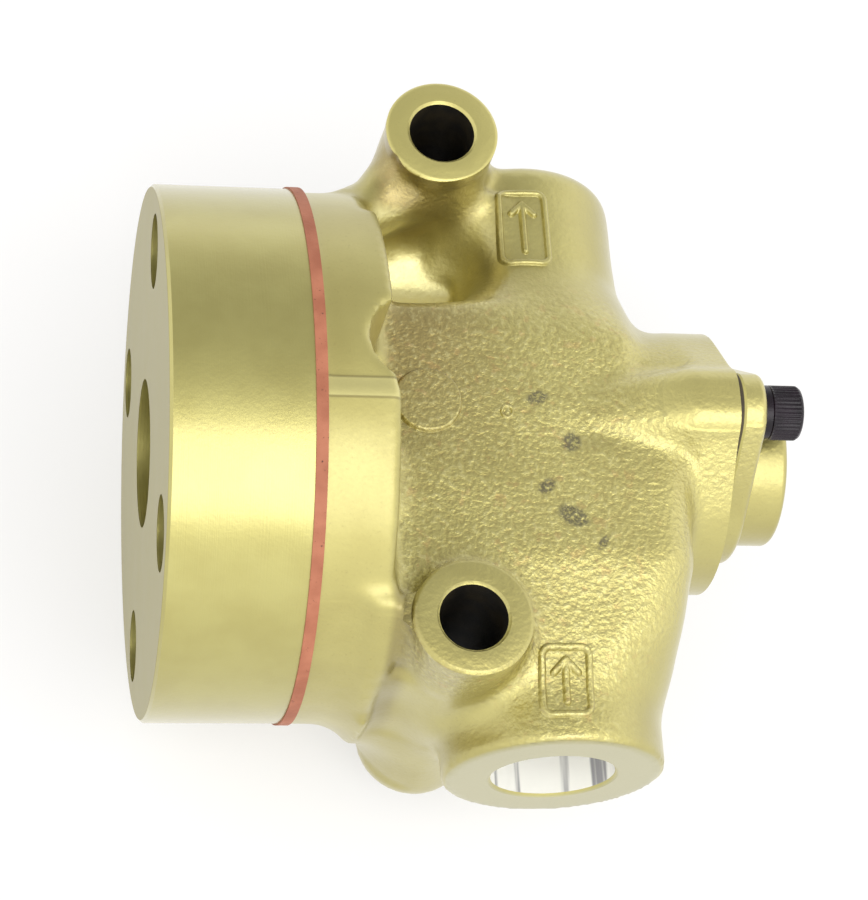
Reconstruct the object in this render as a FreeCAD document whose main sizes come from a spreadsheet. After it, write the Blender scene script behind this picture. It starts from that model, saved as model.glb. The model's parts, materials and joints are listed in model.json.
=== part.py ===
import FreeCAD, Part
import os
import re
import Sketcher
from math import acos, pi
from FreeCAD import Placement, Rotation, Vector

# Pilot operated valve with a bolted round cover, a cast body and an eared end cap.
# Frame: the origin is the centre of the cover's outer face. X runs along the spindle from the
# cover to the end cap, Y from the IN port to the OUT port, Z out of the front of the casting.
# All lengths are millimetres.

doc = FreeCAD.newDocument("pilot_valve")
sheet = doc.addObject("Spreadsheet::Sheet", "Sizes")

# Driving sizes

driving = {
    # Cover
    "cover_diameter": 100.0,
    "cover_thickness": 25.2,
    "cover_edge_chamfer": 0.6,
    "pilot_port_diameter": 27.7,
    "pilot_port_depth": 15.0,
    "pilot_passage_diameter": 19.0,
    "bolt_circle": 78.5,
    # Cover gasket
    "gasket_thickness": 2.1,
    "gasket_proud": 0.35,
    "gasket_inner_diameter": 46.0,
    # Cover screws
    "cover_bolt_diameter": 8.0,
    "cover_bolt_head": 13.0,
    "cover_bolt_length": 29.0,
    "counterbore_diameter": 13.7,
    "counterbore_depth": 9.4,
    "cover_bolt_clearance": 0.35,
    "thread_clearance": 0.05,
    # Body casting
    "flange_thickness": 12.9,
    "flange_edge_round": 0.8,
    "hub_diameter": 72.0,
    "hub_length": 20.0,
    "hub_slope_length": 14.0,
    "hub_cove": 4.0,
    "casting_flat": 25.2,
    "barrel_diameter": 50.2,
    "body_length": 79.2,
    "port_offset": 46.1,
    # Ports
    "inlet_bore": 22.8,
    "inlet_bore_depth": 12.0,
    "inlet_passage_bore": 17.0,
    "inlet_passage_depth": 25.0,
    "outlet_bore": 15.0,
    "outlet_bore_depth": 25.0,
    "port_chamfer": 0.6,
    "inlet_reach": 63.0,
    "inlet_rim_diameter": 41.0,
    "inlet_rim_length": 9.3,
    "inlet_rim_round": 1.0,
    "inlet_start": 8.0,
    "inlet_start_round": 6.0,
    "inlet_shoulder": 29.0,
    "inlet_shoulder_round": 8.0,
    "inlet_waist": 41.0,
    "inlet_waist_width": 46.0,
    "inlet_waist_round": 12.5,
    "outlet_reach": 55.2,
    "outlet_rim_diameter": 37.2,
    "outlet_root_diameter": 41.0,
    "outlet_shoulder": 32.0,
    "outlet_shoulder_diameter": 39.0,
    "outlet_start_round": 8.0,
    "outlet_flat_end": 15.0,
    "outlet_flat_round": 11.0,
    "outlet_rim_round": 4.4,
    "passage_diameter": 14.0,
    "passage_start": 12.0,
    "passage_overlap": 3.5,
    "inlet_passage_lean": 13.0,
    "outlet_passage_lean": 10.5,
    # Mounting bosses
    "boss_face_height": 29.6,
    "boss_rear_depth": 38.5,
    "boss_diameter": 21.4,
    "boss_root_diameter": 22.8,
    "boss_bore": 12.36,
    "boss_bore_chamfer": 0.5,
    "boss_rear_round": 3.0,
    "boss_offset": 27.2,
    "boss_outlet_side": 54.2,
    "boss_inlet_side": 43.3,
    "web_round": 10.0,
    "web_flare_start": 8.7,
    "outlet_web_lift": 2.5,
    "outlet_web_height": 24.0,
    "inlet_web_lift": 4.0,
    "inlet_web_height": 0.0,
    "web_rear_depth": 33.0,
    "rim_flare_lift": 2.0,
    "rim_flare_height": 31.0,
    "inlet_block_reach": 37.5,
    "web_overlap": 4.0,
    "rib_front_height": 1.0,
    "rib_rear_depth": 20.0,
    "rib_side": 7.5,
    "hollow_radius": 11.0,
    "hollow_side": 33.0,
    "hollow_floor": 2.0,
    "hollow_length": 12.3,
    # Cast details beside the flange
    "relief_diameter": 15.4,
    "relief_offset": 3.2,
    "relief_rise": 1.5,
    "cast_pad_diameter": 12.6,
    "cast_pad_height": 0.8,
    "cast_pad_offset": 9.2,
    # Ears at the far end
    "ear_distance": 24.0,
    "ear_radius": 7.5,
    "pad_thickness": 7.0,
    "ear_rib_length": 27.0,
    "ear_rib_flat": 8.0,
    "ear_rib_root": 1.0,
    "ear_rib_round": 6.0,
    # Chambers
    "cylinder_bore": 40.0,
    "cylinder_depth": 24.7,
    "partition_thickness": 6.0,
    "chamber_bore": 34.0,
    "outlet_chamber_length": 13.5,
    "seat_wall": 4.0,
    "inlet_chamber_length": 22.5,
    "end_bore": 29.0,
    "bleed_hole": 2.0,
    "bleed_offset": 13.0,
    # End cap
    "cap_gasket_thickness": 1.3,
    "cap_plate_thickness": 4.1,
    "cap_plate_round": 1.2,
    "cap_mid_diameter": 38.0,
    "cap_ear_radius": 7.2,
    "cap_boss_diameter": 31.0,
    "cap_boss_height": 8.1,
    "cap_boss_round": 1.0,
    "spring_recess_diameter": 24.6,
    "cap_roof": 3.0,
    # Cap screws
    "cap_bolt_diameter": 6.0,
    "cap_bolt_head": 10.2,
    "cap_bolt_length": 18.0,
    "cap_washer_thickness": 1.6,
    "cap_bolt_clearance": 0.3,
    # Piston
    "piston_gap": 5.7,
    "piston_length": 10.0,
    "piston_clearance": 0.05,
    "ring_groove_width": 4.2,
    "ring_groove_depth": 3.4,
    "ring_side_gap": 0.1,
    "piston_washer_diameter": 18.0,
    "piston_washer_thickness": 1.6,
    # Stem and bush
    "stem_diameter": 8.0,
    "stem_end_diameter": 6.0,
    "stem_clearance": 0.05,
    "stem_thread_over": 1.0,
    "bush_diameter": 14.0,
    "bush_flange_diameter": 19.0,
    "bush_flange_thickness": 1.5,
    "o_ring_section": 1.9,
    "o_ring_groove_width": 2.4,
    # Nuts on the stem
    "nut_flats": 10.0,
    "nut_height": 5.0,
    # Seat, disc and spring
    "seat_diameter": 25.6,
    "seat_opening": 19.0,
    "seat_flange_diameter": 28.4,
    "seat_flange_thickness": 1.5,
    "seat_lip_height": 0.6,
    "seat_lip_width": 1.4,
    "seat_tail": 1.5,
    "seal_gap": 0.05,
    "retainer_diameter": 17.4,
    "retainer_thickness": 2.0,
    "seal_thickness": 2.5,
    "seal_diameter": 24.6,
    "seal_proud": 0.6,
    "disc_diameter": 27.2,
    "disc_thickness": 4.0,
    "disc_hub_diameter": 14.0,
    "disc_hub_height": 4.0,
    "spring_wire": 2.2,
    "spring_mean_diameter": 20.4,
    "spring_turns": 6.0,
    "spring_end_gap": 0.1,
    # Shared
    "cover_bolt_socket": 6.0,
    "cap_bolt_socket": 5.0,
    "head_edge_round": 0.6,
    "washer_slit": 0.9,
    "tap_runout": 3.0,
    "fit_clearance": 0.05,
    "reach_beyond": 5.0,
}

for row, (alias, number) in enumerate(driving.items(), start=1):
    sheet.set("A%d" % row, alias.replace("_", " "))
    sheet.set("B%d" % row, str(number))
    sheet.setAlias("B%d" % row, alias)
doc.recompute()

# Places that follow from the driving sizes

derived = {
    "body_face": "cover_thickness + gasket_thickness",
    "flange_back": "body_face + flange_thickness",
    "hub_end": "flange_back + hub_length",
    "barrel_start": "hub_end + hub_slope_length",
    "body_end": "body_face + body_length",
    "port_axis": "body_face + port_offset",
    "boss_axis": "body_face + boss_offset",
    "cylinder_floor": "body_face + cylinder_depth",
    "partition_end": "cylinder_floor + partition_thickness",
    "seat_wall_front": "partition_end + outlet_chamber_length",
    "seat_wall_back": "seat_wall_front + seat_wall",
    "inlet_chamber_end": "seat_wall_back + inlet_chamber_length",
    "pad_start": "body_end - pad_thickness",
    "ear_rib_start": "body_end - ear_rib_length",
    "ear_tip": "ear_distance + ear_radius",
    "cap_face": "body_end + cap_gasket_thickness",
    "cap_plate_face": "cap_face + cap_plate_thickness",
    "cap_end": "cap_plate_face + cap_boss_height",
    "cap_bolt_seat": "cap_plate_face + cap_washer_thickness",
    "boss_length": "boss_face_height + boss_rear_depth",
    "bolt_radius": "bolt_circle / 2",
    "piston_front": "body_face + piston_gap",
    "piston_back": "piston_front + piston_length",
    "piston_diameter": "cylinder_bore - 2 * piston_clearance",
    "piston_nut_face": "piston_front - piston_washer_thickness - nut_height",
    "stem_start": "piston_nut_face - stem_thread_over",
    "seat_face": "seat_wall_back + seat_flange_thickness + seat_lip_height",
    "seal_face": "seat_face + seal_gap",
    "retainer_front": "seal_face - retainer_thickness",
    "disc_front": "seal_face + seal_thickness",
    "disc_back": "disc_front + disc_thickness",
    "disc_hub_end": "disc_back + disc_hub_height",
    "stem_end": "disc_hub_end + nut_height + stem_thread_over",
    "spring_seat": "cap_end - cap_roof",
}


def formula(text):
    """Write a formula with plain size names as one that reads the sheet."""
    def swap(match):
        word = match.group()
        if word in driving:
            return "Sizes." + word
        if word in derived:
            return "(" + formula(derived[word]) + ")"
        return word
    return re.sub(r"[a-z_]+", swap, text)


def bind(item, **sizes):
    """Bind properties of an object to formulas; two underscores stand for a dot."""
    for name, text in sizes.items():
        path = name.replace("__", ".")
        if path.startswith("Placement") or path.startswith("AttachmentOffset"):
            path = "." + path
        item.setExpression(path, formula(text))
    return item


# Directions that a turned piece can be laid along, from its own X

ALONG_X = Rotation()
ALONG_Y = Rotation(Vector(0, 0, 1), 90)
AGAINST_Y = Rotation(Vector(0, 0, 1), -90)
ALONG_Z = Rotation(Vector(0, 1, 0), -90)
HALF_TURN = Rotation(Vector(1, 0, 0), 180)
BACK_ALONG_X = Rotation(Vector(0, 0, 1), 180)
ACROSS_Y = Rotation(Vector(1, 0, 0), 90)
CYLINDER_TO_X = Rotation(Vector(0, 1, 0), 90)
CYLINDER_TO_Y = Rotation(Vector(1, 0, 0), -90)


def place(item, x="0", y="0", z="0", turn=None):
    """Put an object at a place whose three coordinates are formulas."""
    if turn is not None:
        item.Placement = Placement(Vector(0, 0, 0), turn)
    return bind(item, Placement__Base__x=x, Placement__Base__y=y, Placement__Base__z=z)


def origin_plane(body, role):
    return next(item for item in body.Origin.OriginFeatures if item.Role == role)


def closed_outline(sketch, corners):
    """Draw straight lines round the corners, each corner held by two formulas."""
    points = [Vector(across_guess, up_guess, 0) for _, _, across_guess, up_guess in corners]
    count = len(points)
    for index in range(count):
        sketch.addGeometry(Part.LineSegment(points[index], points[(index + 1) % count]), False)
    for index in range(count):
        sketch.addConstraint(Sketcher.Constraint("Coincident", index, 2, (index + 1) % count, 1))
    for index, (across, up, across_guess, up_guess) in enumerate(corners):
        for kind, text, guess, axis in (("DistanceX", across, across_guess, -2),
                                        ("DistanceY", up, up_guess, -1)):
            if text == "0":
                sketch.addConstraint(Sketcher.Constraint("PointOnObject", index, 1, axis))
                continue
            number = sketch.addConstraint(Sketcher.Constraint(kind, -1, 1, index, 1, guess))
            sketch.setExpression("Constraints[%d]" % number, formula(text))


def size_now(text):
    """The present value of a formula, used to start a sketch near its solution."""
    probe = sheet.evalExpression(formula(text).replace("Sizes.", ""))
    return float(probe)


def turned(name, corners, place_x="0", place_y="0", place_z="0", turn=ALONG_X):
    """Turn an outline of (distance along, radius) corners about its own X axis."""
    body = doc.addObject("PartDesign::Body", name)
    sketch = body.newObject("Sketcher::SketchObject", name + "_outline")
    sketch.AttachmentSupport = [(origin_plane(body, "XY_Plane"), "")]
    sketch.MapMode = "FlatFace"
    closed_outline(sketch, [(along, radius, size_now(along), size_now(radius))
                            for along, radius in corners])
    solid = body.newObject("PartDesign::Revolution", name + "_turning")
    solid.Profile = sketch
    solid.ReferenceAxis = (sketch, ["H_Axis"])
    solid.Angle = 360
    place(body, place_x, place_y, place_z, turn)
    doc.recompute()
    return body


def circle_edges(shape, along, radius):
    """Names of the full circles at one distance along X with one radius."""
    names = []
    for number, edge in enumerate(shape.Edges, start=1):
        if not hasattr(edge.Curve, "Radius"):
            continue
        centre = edge.Curve.Center
        if abs(centre.x - along) < 1e-4 and abs(edge.Curve.Radius - radius) < 1e-4:
            names.append("Edge%d" % number)
    return names


def dress(body, edges, size, kind="Fillet"):
    """Round or chamfer named edges of a body's last feature."""
    base = body.Tip
    feature = body.newObject("PartDesign::" + kind, "%s_%s" % (body.Name, kind.lower()))
    feature.Base = (base, edges)
    if kind == "Fillet":
        bind(feature, Radius=size)
    else:
        bind(feature, Size=size)
    body.Tip = feature
    doc.recompute()
    return body


def soften(body, rims, kind="Fillet"):
    """Round or chamfer rims of a turned piece: each rim is (along, radius, size)."""
    for along, radius, size in rims:
        edges = circle_edges(body.Tip.Shape, size_now(along), size_now(radius))
        dress(body, edges, size, kind)
    return body


def cylinder(name, radius, length, x="0", y="0", z="0", turn=None):
    item = doc.addObject("Part::Cylinder", name)
    bind(item, Radius=radius, Height=length)
    return place(item, x, y, z, turn)


def box(name, length, width, height, x="0", y="0", z="0"):
    item = doc.addObject("Part::Box", name)
    bind(item, Length=length, Width=width, Height=height)
    return place(item, x, y, z)


def fuse(name, shapes):
    item = doc.addObject("Part::MultiFuse", name)
    item.Shapes = shapes
    item.Refine = True
    return item


def common(name, shapes):
    item = doc.addObject("Part::MultiCommon", name)
    item.Shapes = shapes
    return item


def cut(name, base, tool):
    item = doc.addObject("Part::Cut", name)
    item.Base = base
    item.Tool = tool
    item.Refine = True
    return item


def pad_sketch(name, plane, corners, offset, length):
    """Extrude an outline of formula corners from a plane of its own body."""
    body = doc.addObject("PartDesign::Body", name)
    sketch = body.newObject("Sketcher::SketchObject", name + "_outline")
    sketch.AttachmentSupport = [(origin_plane(body, plane), "")]
    sketch.MapMode = "FlatFace"
    bind(sketch, AttachmentOffset__Base__z=offset)
    closed_outline(sketch, [(across, up, size_now(across), size_now(up)) for across, up in corners])
    solid = body.newObject("PartDesign::Pad", name + "_pad")
    solid.Profile = sketch
    bind(solid, Length=length)
    doc.recompute()
    return body


def eared_plate(name, middle_radius, ear_radius, start, thickness):
    """A plate across the spindle: a round middle with an ear above and below it."""
    body = doc.addObject("PartDesign::Body", name)
    sketch = body.newObject("Sketcher::SketchObject", name + "_outline")
    sketch.AttachmentSupport = [(origin_plane(body, "YZ_Plane"), "")]
    sketch.MapMode = "FlatFace"
    bind(sketch, AttachmentOffset__Base__z=start)
    middle = size_now(middle_radius)
    ear = size_now(ear_radius)
    reach = size_now("ear_distance")
    lean = (middle - ear) / reach
    side = (1 - lean * lean) ** 0.5
    angle = acos(lean)
    right = pi / 2
    normal = Vector(0, 0, 1)
    arcs = [
        (Vector(0, reach, 0), ear, right - angle, right + angle),
        (Vector(0, 0, 0), middle, right + angle, 3 * right - angle),
        (Vector(0, -reach, 0), ear, 3 * right - angle, 3 * right + angle),
        (Vector(0, 0, 0), middle, 3 * right + angle, 5 * right - angle),
    ]
    for centre, radius, first, last in arcs:
        sketch.addGeometry(Part.ArcOfCircle(Part.Circle(centre, normal, radius), first, last), False)
    for x_side, y_side in ((-1, 1), (-1, -1), (1, -1), (1, 1)):
        ear_point = Vector(x_side * ear * side, y_side * (reach + ear * lean), 0)
        middle_point = Vector(x_side * middle * side, y_side * middle * lean, 0)
        ends = (ear_point, middle_point) if x_side * y_side < 0 else (middle_point, ear_point)
        sketch.addGeometry(Part.LineSegment(*ends), False)
    chain = [(0, 2, 4, 1), (4, 2, 1, 1), (1, 2, 5, 1), (5, 2, 2, 1),
             (2, 2, 6, 1), (6, 2, 3, 1), (3, 2, 7, 1), (7, 2, 0, 1)]
    for first, first_end, second, second_end in chain:
        sketch.addConstraint(Sketcher.Constraint("Tangent", first, first_end, second, second_end))
    sketch.addConstraint(Sketcher.Constraint("Coincident", 1, 3, -1, 1))
    sketch.addConstraint(Sketcher.Constraint("Coincident", 3, 3, -1, 1))
    sketch.addConstraint(Sketcher.Constraint("PointOnObject", 0, 3, -2))
    sketch.addConstraint(Sketcher.Constraint("Symmetric", 0, 3, 2, 3, -1, 1))
    sketch.addConstraint(Sketcher.Constraint("Equal", 0, 2))
    sketch.addConstraint(Sketcher.Constraint("Equal", 1, 3))
    for kind, where, value, text in (
            ("Radius", (0,), ear, ear_radius),
            ("Radius", (1,), middle, middle_radius),
            ("DistanceY", (-1, 1, 0, 3), reach, "ear_distance")):
        number = sketch.addConstraint(Sketcher.Constraint(kind, *where, value))
        sketch.setExpression("Constraints[%d]" % number, formula(text))
    solid = body.newObject("PartDesign::Pad", name + "_pad")
    solid.Profile = sketch
    bind(solid, Length=thickness)
    doc.recompute()
    return body


# Valve body: the outside of the casting

flange = turned("flange", [
    ("body_face", "0"),
    ("body_face", "cover_diameter / 2"),
    ("flange_back", "cover_diameter / 2"),
    ("flange_back", "0"),
])
soften(flange, [("flange_back", "cover_diameter / 2", "flange_edge_round")])

hub = turned("hub", [
    ("flange_back - hub_cove", "0"),
    ("flange_back - hub_cove", "hub_diameter / 2 + hub_cove"),
    ("flange_back", "hub_diameter / 2 + hub_cove"),
    ("flange_back + hub_cove", "hub_diameter / 2"),
    ("hub_end", "hub_diameter / 2"),
    ("barrel_start", "barrel_diameter / 2"),
    ("body_end", "barrel_diameter / 2"),
    ("body_end", "0"),
])


def rounded_section(name, half_width, half_height, corner_radius, side):
    """A rectangle with round corners across a port column, at one distance from the spindle."""
    sketch = doc.addObject("Sketcher::SketchObject", name)
    half = Vector(size_now(half_width), size_now(half_height), 0)
    corner = size_now(corner_radius)
    normal = Vector(0, 0, 1)
    for quarter, (across, up) in enumerate(((1, 1), (-1, 1), (-1, -1), (1, -1))):
        centre = Vector(across * (half.x - corner), up * (half.y - corner), 0)
        arc = Part.ArcOfCircle(Part.Circle(centre, normal, corner), quarter * pi / 2,
                               (quarter + 1) * pi / 2)
        sketch.addGeometry(arc, False)
    for across, up in ((0, 1), (-1, 0), (0, -1), (1, 0)):
        middle = Vector(across * half.x, up * half.y, 0)
        along = Vector(-up * (half.x - corner), across * (half.y - corner), 0)
        sketch.addGeometry(Part.LineSegment(middle - along, middle + along), False)
    for edge in range(4):
        sketch.addConstraint(Sketcher.Constraint("Tangent", edge, 2, 4 + edge, 1))
        sketch.addConstraint(Sketcher.Constraint("Tangent", 4 + edge, 2, (edge + 1) % 4, 1))
        direction = "Vertical" if edge % 2 else "Horizontal"
        sketch.addConstraint(Sketcher.Constraint(direction, 4 + edge))
    for edge in range(1, 4):
        sketch.addConstraint(Sketcher.Constraint("Equal", 0, edge))
    sketch.addConstraint(Sketcher.Constraint("Symmetric", 0, 3, 2, 3, -1, 1))
    for kind, where, value, text in (
            ("Radius", (0,), corner, corner_radius),
            ("DistanceX", (-1, 1, 7, 1), half.x, half_width),
            ("DistanceY", (-1, 1, 4, 1), half.y, half_height)):
        number = sketch.addConstraint(Sketcher.Constraint(kind, *where, value))
        sketch.setExpression("Constraints[%d]" % number, formula(text))
    return place(sketch, x="port_axis", y=side, turn=ACROSS_Y)


def ruled_loft(name, sections):
    loft = doc.addObject("Part::Loft", name)
    loft.Sections = sections
    loft.Solid = True
    loft.Ruled = True
    return loft


inlet_taper = ruled_loft("inlet_taper", [
    rounded_section("inlet_start_section", "casting_flat", "casting_flat", "inlet_start_round",
                    "-inlet_start"),
    rounded_section("inlet_shoulder_section", "casting_flat", "casting_flat",
                    "inlet_shoulder_round", "-inlet_shoulder"),
    rounded_section("inlet_waist_section", "inlet_waist_width / 2", "inlet_waist_width / 2",
                    "inlet_waist_round", "-inlet_waist"),
    rounded_section("inlet_rim_section", "inlet_rim_diameter / 2", "inlet_rim_diameter / 2",
                    "inlet_rim_diameter / 2 - fit_clearance", "inlet_rim_length - inlet_reach"),
])
outlet_taper = ruled_loft("outlet_taper", [
    rounded_section("outlet_start_section", "outlet_root_diameter / 2", "casting_flat",
                    "outlet_start_round", "0"),
    rounded_section("outlet_flat_section", "outlet_root_diameter / 2", "casting_flat",
                    "outlet_flat_round", "outlet_flat_end"),
    rounded_section("outlet_shoulder_section", "outlet_shoulder_diameter / 2",
                    "outlet_shoulder_diameter / 2", "outlet_shoulder_diameter / 2 - fit_clearance",
                    "outlet_shoulder"),
])

inlet_rim = turned("inlet_rim", [
    ("inlet_reach - inlet_rim_length", "0"),
    ("inlet_reach - inlet_rim_length", "inlet_rim_diameter / 2"),
    ("inlet_reach", "inlet_rim_diameter / 2"),
    ("inlet_reach", "0"),
], place_x="port_axis", turn=AGAINST_Y)
soften(inlet_rim, [("inlet_reach", "inlet_rim_diameter / 2", "inlet_rim_round")])

slab = box("casting_slab", "body_end", "2 * inlet_reach", "2 * casting_flat", y="-inlet_reach",
           z="-casting_flat")
flat_hub = common("flat_hub", [hub, slab])

barrel = turned("barrel", [
    ("barrel_start", "0"),
    ("barrel_start", "barrel_diameter / 2"),
    ("body_end", "barrel_diameter / 2"),
    ("body_end", "0"),
])

outlet_column = turned("outlet_column", [
    ("0", "0"),
    ("0", "outlet_root_diameter / 2"),
    ("outlet_reach", "outlet_rim_diameter / 2"),
    ("outlet_reach", "0"),
], place_x="port_axis", turn=ALONG_Y)
soften(outlet_column, [("outlet_reach", "outlet_rim_diameter / 2", "outlet_rim_round")])


def boss_column(name, side):
    """A long drafted mounting boss that stands along Z."""
    column = turned(name, [
        ("0", "0"),
        ("0", "boss_root_diameter / 2"),
        ("boss_length", "boss_diameter / 2"),
        ("boss_length", "0"),
    ], place_x="boss_axis", place_y=side, place_z="-boss_rear_depth", turn=ALONG_Z)
    return soften(column, [("0", "boss_root_diameter / 2", "boss_rear_round")])


outlet_boss = boss_column("outlet_boss", "boss_outlet_side")
inlet_boss = boss_column("inlet_boss", "-boss_inlet_side")

pad = eared_plate("end_pad", "barrel_diameter / 2", "ear_radius", "pad_start", "pad_thickness")


def web(name, lift, end, height, sign):
    """A flared rib that ties a mounting boss to the flange's rim."""
    start = "flange_back - web_flare_start"
    foot = "hub_diameter / 2 - web_overlap"
    top = "cover_diameter / 2 + " + lift
    reach = "cover_diameter / 2 + web_round"
    ring = turned(name + "_ring", [(start, foot), (start, top), (end, top), (end, foot)])
    flare = doc.addObject("Part::Torus", name + "_flare")
    bind(flare, Radius1=reach, Radius2="web_round")
    place(flare, x=start, turn=CYLINDER_TO_X)
    window = box(name + "_window", "boss_axis", "%s - (%s)" % (reach, foot),
                 height + " + web_rear_depth", y=foot if sign > 0 else "-(%s)" % reach,
                 z="-web_rear_depth")
    return common(name, [cut(name + "_flared", ring, flare), window])


boss_flank = "boss_axis - boss_diameter / 4"
outlet_web = web("outlet_web", "outlet_web_lift", boss_flank, "outlet_web_height", 1)
inlet_web = web("inlet_web", "inlet_web_lift", boss_flank, "inlet_web_height", -1)
rim_flare = web("rim_flare", "rim_flare_lift", "flange_back + flange_edge_round",
                "rim_flare_height", -1)
inlet_block = box("inlet_block",
                  "boss_axis + inlet_shoulder_round / 2 - flange_back + hub_cove",
                  "inlet_block_reach", "2 * casting_flat", x="flange_back - hub_cove",
                  y="-inlet_block_reach", z="-casting_flat")
outlet_rib = box("outlet_rib", "boss_diameter / 4 + rib_side",
                 "boss_outlet_side - hub_diameter / 2 + web_overlap",
                 "rib_front_height + rib_rear_depth", x="boss_axis - boss_diameter / 4",
                 y="hub_diameter / 2 - web_overlap", z="-rib_rear_depth")


def ear_rib(name, turn):
    """The tapered rib that carries an ear's screw back into the casting."""
    rib = pad_sketch(name, "XZ_Plane", [
        ("ear_rib_start", "chamber_bore / 2 + ear_rib_root"),
        ("ear_rib_start", "casting_flat"),
        ("body_end - ear_rib_flat", "ear_tip"),
        ("body_end", "ear_tip"),
        ("body_end", "chamber_bore / 2 + ear_rib_root"),
    ], "-ear_radius", "2 * ear_radius")
    flat = size_now("casting_flat") - 1e-4
    crests = []
    for number, edge in enumerate(rib.Tip.Shape.Edges, start=1):
        first, last = (vertex.Point for vertex in edge.Vertexes)
        if min(first.z, last.z) > flat and abs(first.x - last.x) > 1e-3:
            crests.append("Edge%d" % number)
    return place(dress(rib, crests, "ear_rib_round"), turn=turn)


front_rib = ear_rib("front_ear_rib", ALONG_X)
rear_rib = ear_rib("rear_ear_rib", HALF_TURN)

cast_pad = cylinder("cast_pad", "cast_pad_diameter / 2", "hub_cove + cast_pad_height",
                    x="flange_back + cast_pad_offset", z="casting_flat - hub_cove")

# The hollow between the hub and the outlet boss, open to the front, with a ball end

hollow_middle = "hollow_radius + hollow_floor"
hollow_end = "flange_back + hollow_length"
hollow_rise = "casting_flat + reach_beyond - (%s)" % hollow_middle
hollow_ball = bind(doc.addObject("Part::Sphere", "hollow_ball"), Radius="hollow_radius")
place(hollow_ball, x=hollow_end, y="hollow_side", z=hollow_middle)
boss_hollow = fuse("boss_hollow", [
    hollow_ball,
    cylinder("hollow_trough", "hollow_radius", "hollow_length + hub_cove",
             x="flange_back - hub_cove", y="hollow_side", z=hollow_middle, turn=CYLINDER_TO_X),
    cylinder("hollow_corner", "hollow_radius", hollow_rise, x=hollow_end, y="hollow_side",
             z=hollow_middle),
    box("hollow_mouth", "hollow_length + hub_cove", "2 * hollow_radius", hollow_rise,
        x="flange_back - hub_cove", y="hollow_side - hollow_radius", z=hollow_middle),
])
outlet_side = cut("outlet_side", fuse("outlet_block", [
    flat_hub, outlet_taper, outlet_column, outlet_web, outlet_rib]), boss_hollow)

casting = fuse("casting", [flange, outlet_side, inlet_taper, inlet_rim, barrel, outlet_boss,
                           inlet_boss, inlet_web, rim_flare, inlet_block, pad, front_rib,
                           rear_rib, cast_pad])

# Valve body: what is cut out of the casting


def bore(name, start, end, radius):
    """A straight bore along the spindle between two stations."""
    return cylinder(name, radius, "(%s) - (%s)" % (end, start), x=start, turn=CYLINDER_TO_X)


def bolt_holes(name, radius, start, length):
    """Four holes on the cover's bolt circle, at 45 degrees to the axes."""
    first = cylinder(name + "_hole", radius, length, x=start, y="bolt_radius * sqrt(0.5)",
                     z="bolt_radius * sqrt(0.5)", turn=CYLINDER_TO_X)
    holes = [first]
    for number, (y_sign, z_sign) in enumerate((("-", ""), ("-", "-"), ("", "-")), start=2):
        holes.append(cylinder("%s_hole_%d" % (name, number), radius, length, x=start,
                              y=y_sign + "bolt_radius * sqrt(0.5)",
                              z=z_sign + "bolt_radius * sqrt(0.5)", turn=CYLINDER_TO_X))
    return fuse(name, holes)


def port_cut(name, turn, reach, bore_size, depth):
    """A machined port socket with a small chamfer at its mouth, turned about the port axis."""
    return turned(name, [
        (reach + " - " + depth, "0"),
        (reach + " - " + depth, bore_size + " / 2"),
        (reach + " - port_chamfer", bore_size + " / 2"),
        (reach + " + reach_beyond", bore_size + " / 2 + port_chamfer + reach_beyond"),
        (reach + " + reach_beyond", "0"),
    ], place_x="port_axis", turn=turn)


def slanted_passage(name, floor, lean, foot_x, foot_y, axis, angle):
    """A cored passage from a chamber out to the floor of a port socket."""
    rise = "(%s + passage_overlap - passage_start)" % floor
    length = "sqrt(%s * %s + %s * %s)" % (rise, rise, lean, lean)
    passage = turned(name, [
        ("0", "0"),
        ("0", "passage_diameter / 2"),
        (length, "passage_diameter / 2"),
        (length, "0"),
    ], place_x=foot_x, place_y=foot_y)
    passage.Placement.Rotation = Rotation(axis, 90)
    return bind(passage, Placement__Rotation__Angle=angle % (lean, rise))


inlet_socket = port_cut("inlet_socket", AGAINST_Y, "inlet_reach", "inlet_bore",
                        "inlet_bore_depth")
outlet_socket = port_cut("outlet_socket", ALONG_Y, "outlet_reach", "outlet_bore",
                         "outlet_bore_depth")
inlet_throat = turned("inlet_throat", [
    ("inlet_reach - inlet_passage_depth", "0"),
    ("inlet_reach - inlet_passage_depth", "inlet_passage_bore / 2"),
    ("inlet_reach - inlet_bore_depth", "inlet_passage_bore / 2"),
    ("inlet_reach - inlet_bore_depth", "0"),
], place_x="port_axis", turn=AGAINST_Y)
inlet_passage = slanted_passage(
    "inlet_passage", "inlet_reach - inlet_passage_depth", "inlet_passage_lean",
    "port_axis + inlet_passage_lean", "-passage_start", Vector(0, 0, -1), "90 deg + atan(%s / %s)")
outlet_passage = slanted_passage(
    "outlet_passage", "outlet_reach - outlet_bore_depth", "outlet_passage_lean",
    "port_axis - outlet_passage_lean", "passage_start", Vector(0, 0, 1), "90 deg - atan(%s / %s)")


def mounting_bore(name, side):
    """The through bore of one mounting boss, chamfered at both faces."""
    return turned(name, [
        ("-reach_beyond", "0"),
        ("-reach_beyond", "boss_bore / 2 + boss_bore_chamfer + reach_beyond"),
        ("boss_bore_chamfer", "boss_bore / 2"),
        ("boss_length - boss_bore_chamfer", "boss_bore / 2"),
        ("boss_length + reach_beyond", "boss_bore / 2 + boss_bore_chamfer + reach_beyond"),
        ("boss_length + reach_beyond", "0"),
    ], place_x="boss_axis", place_y=side, place_z="-boss_rear_depth", turn=ALONG_Z)


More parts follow.
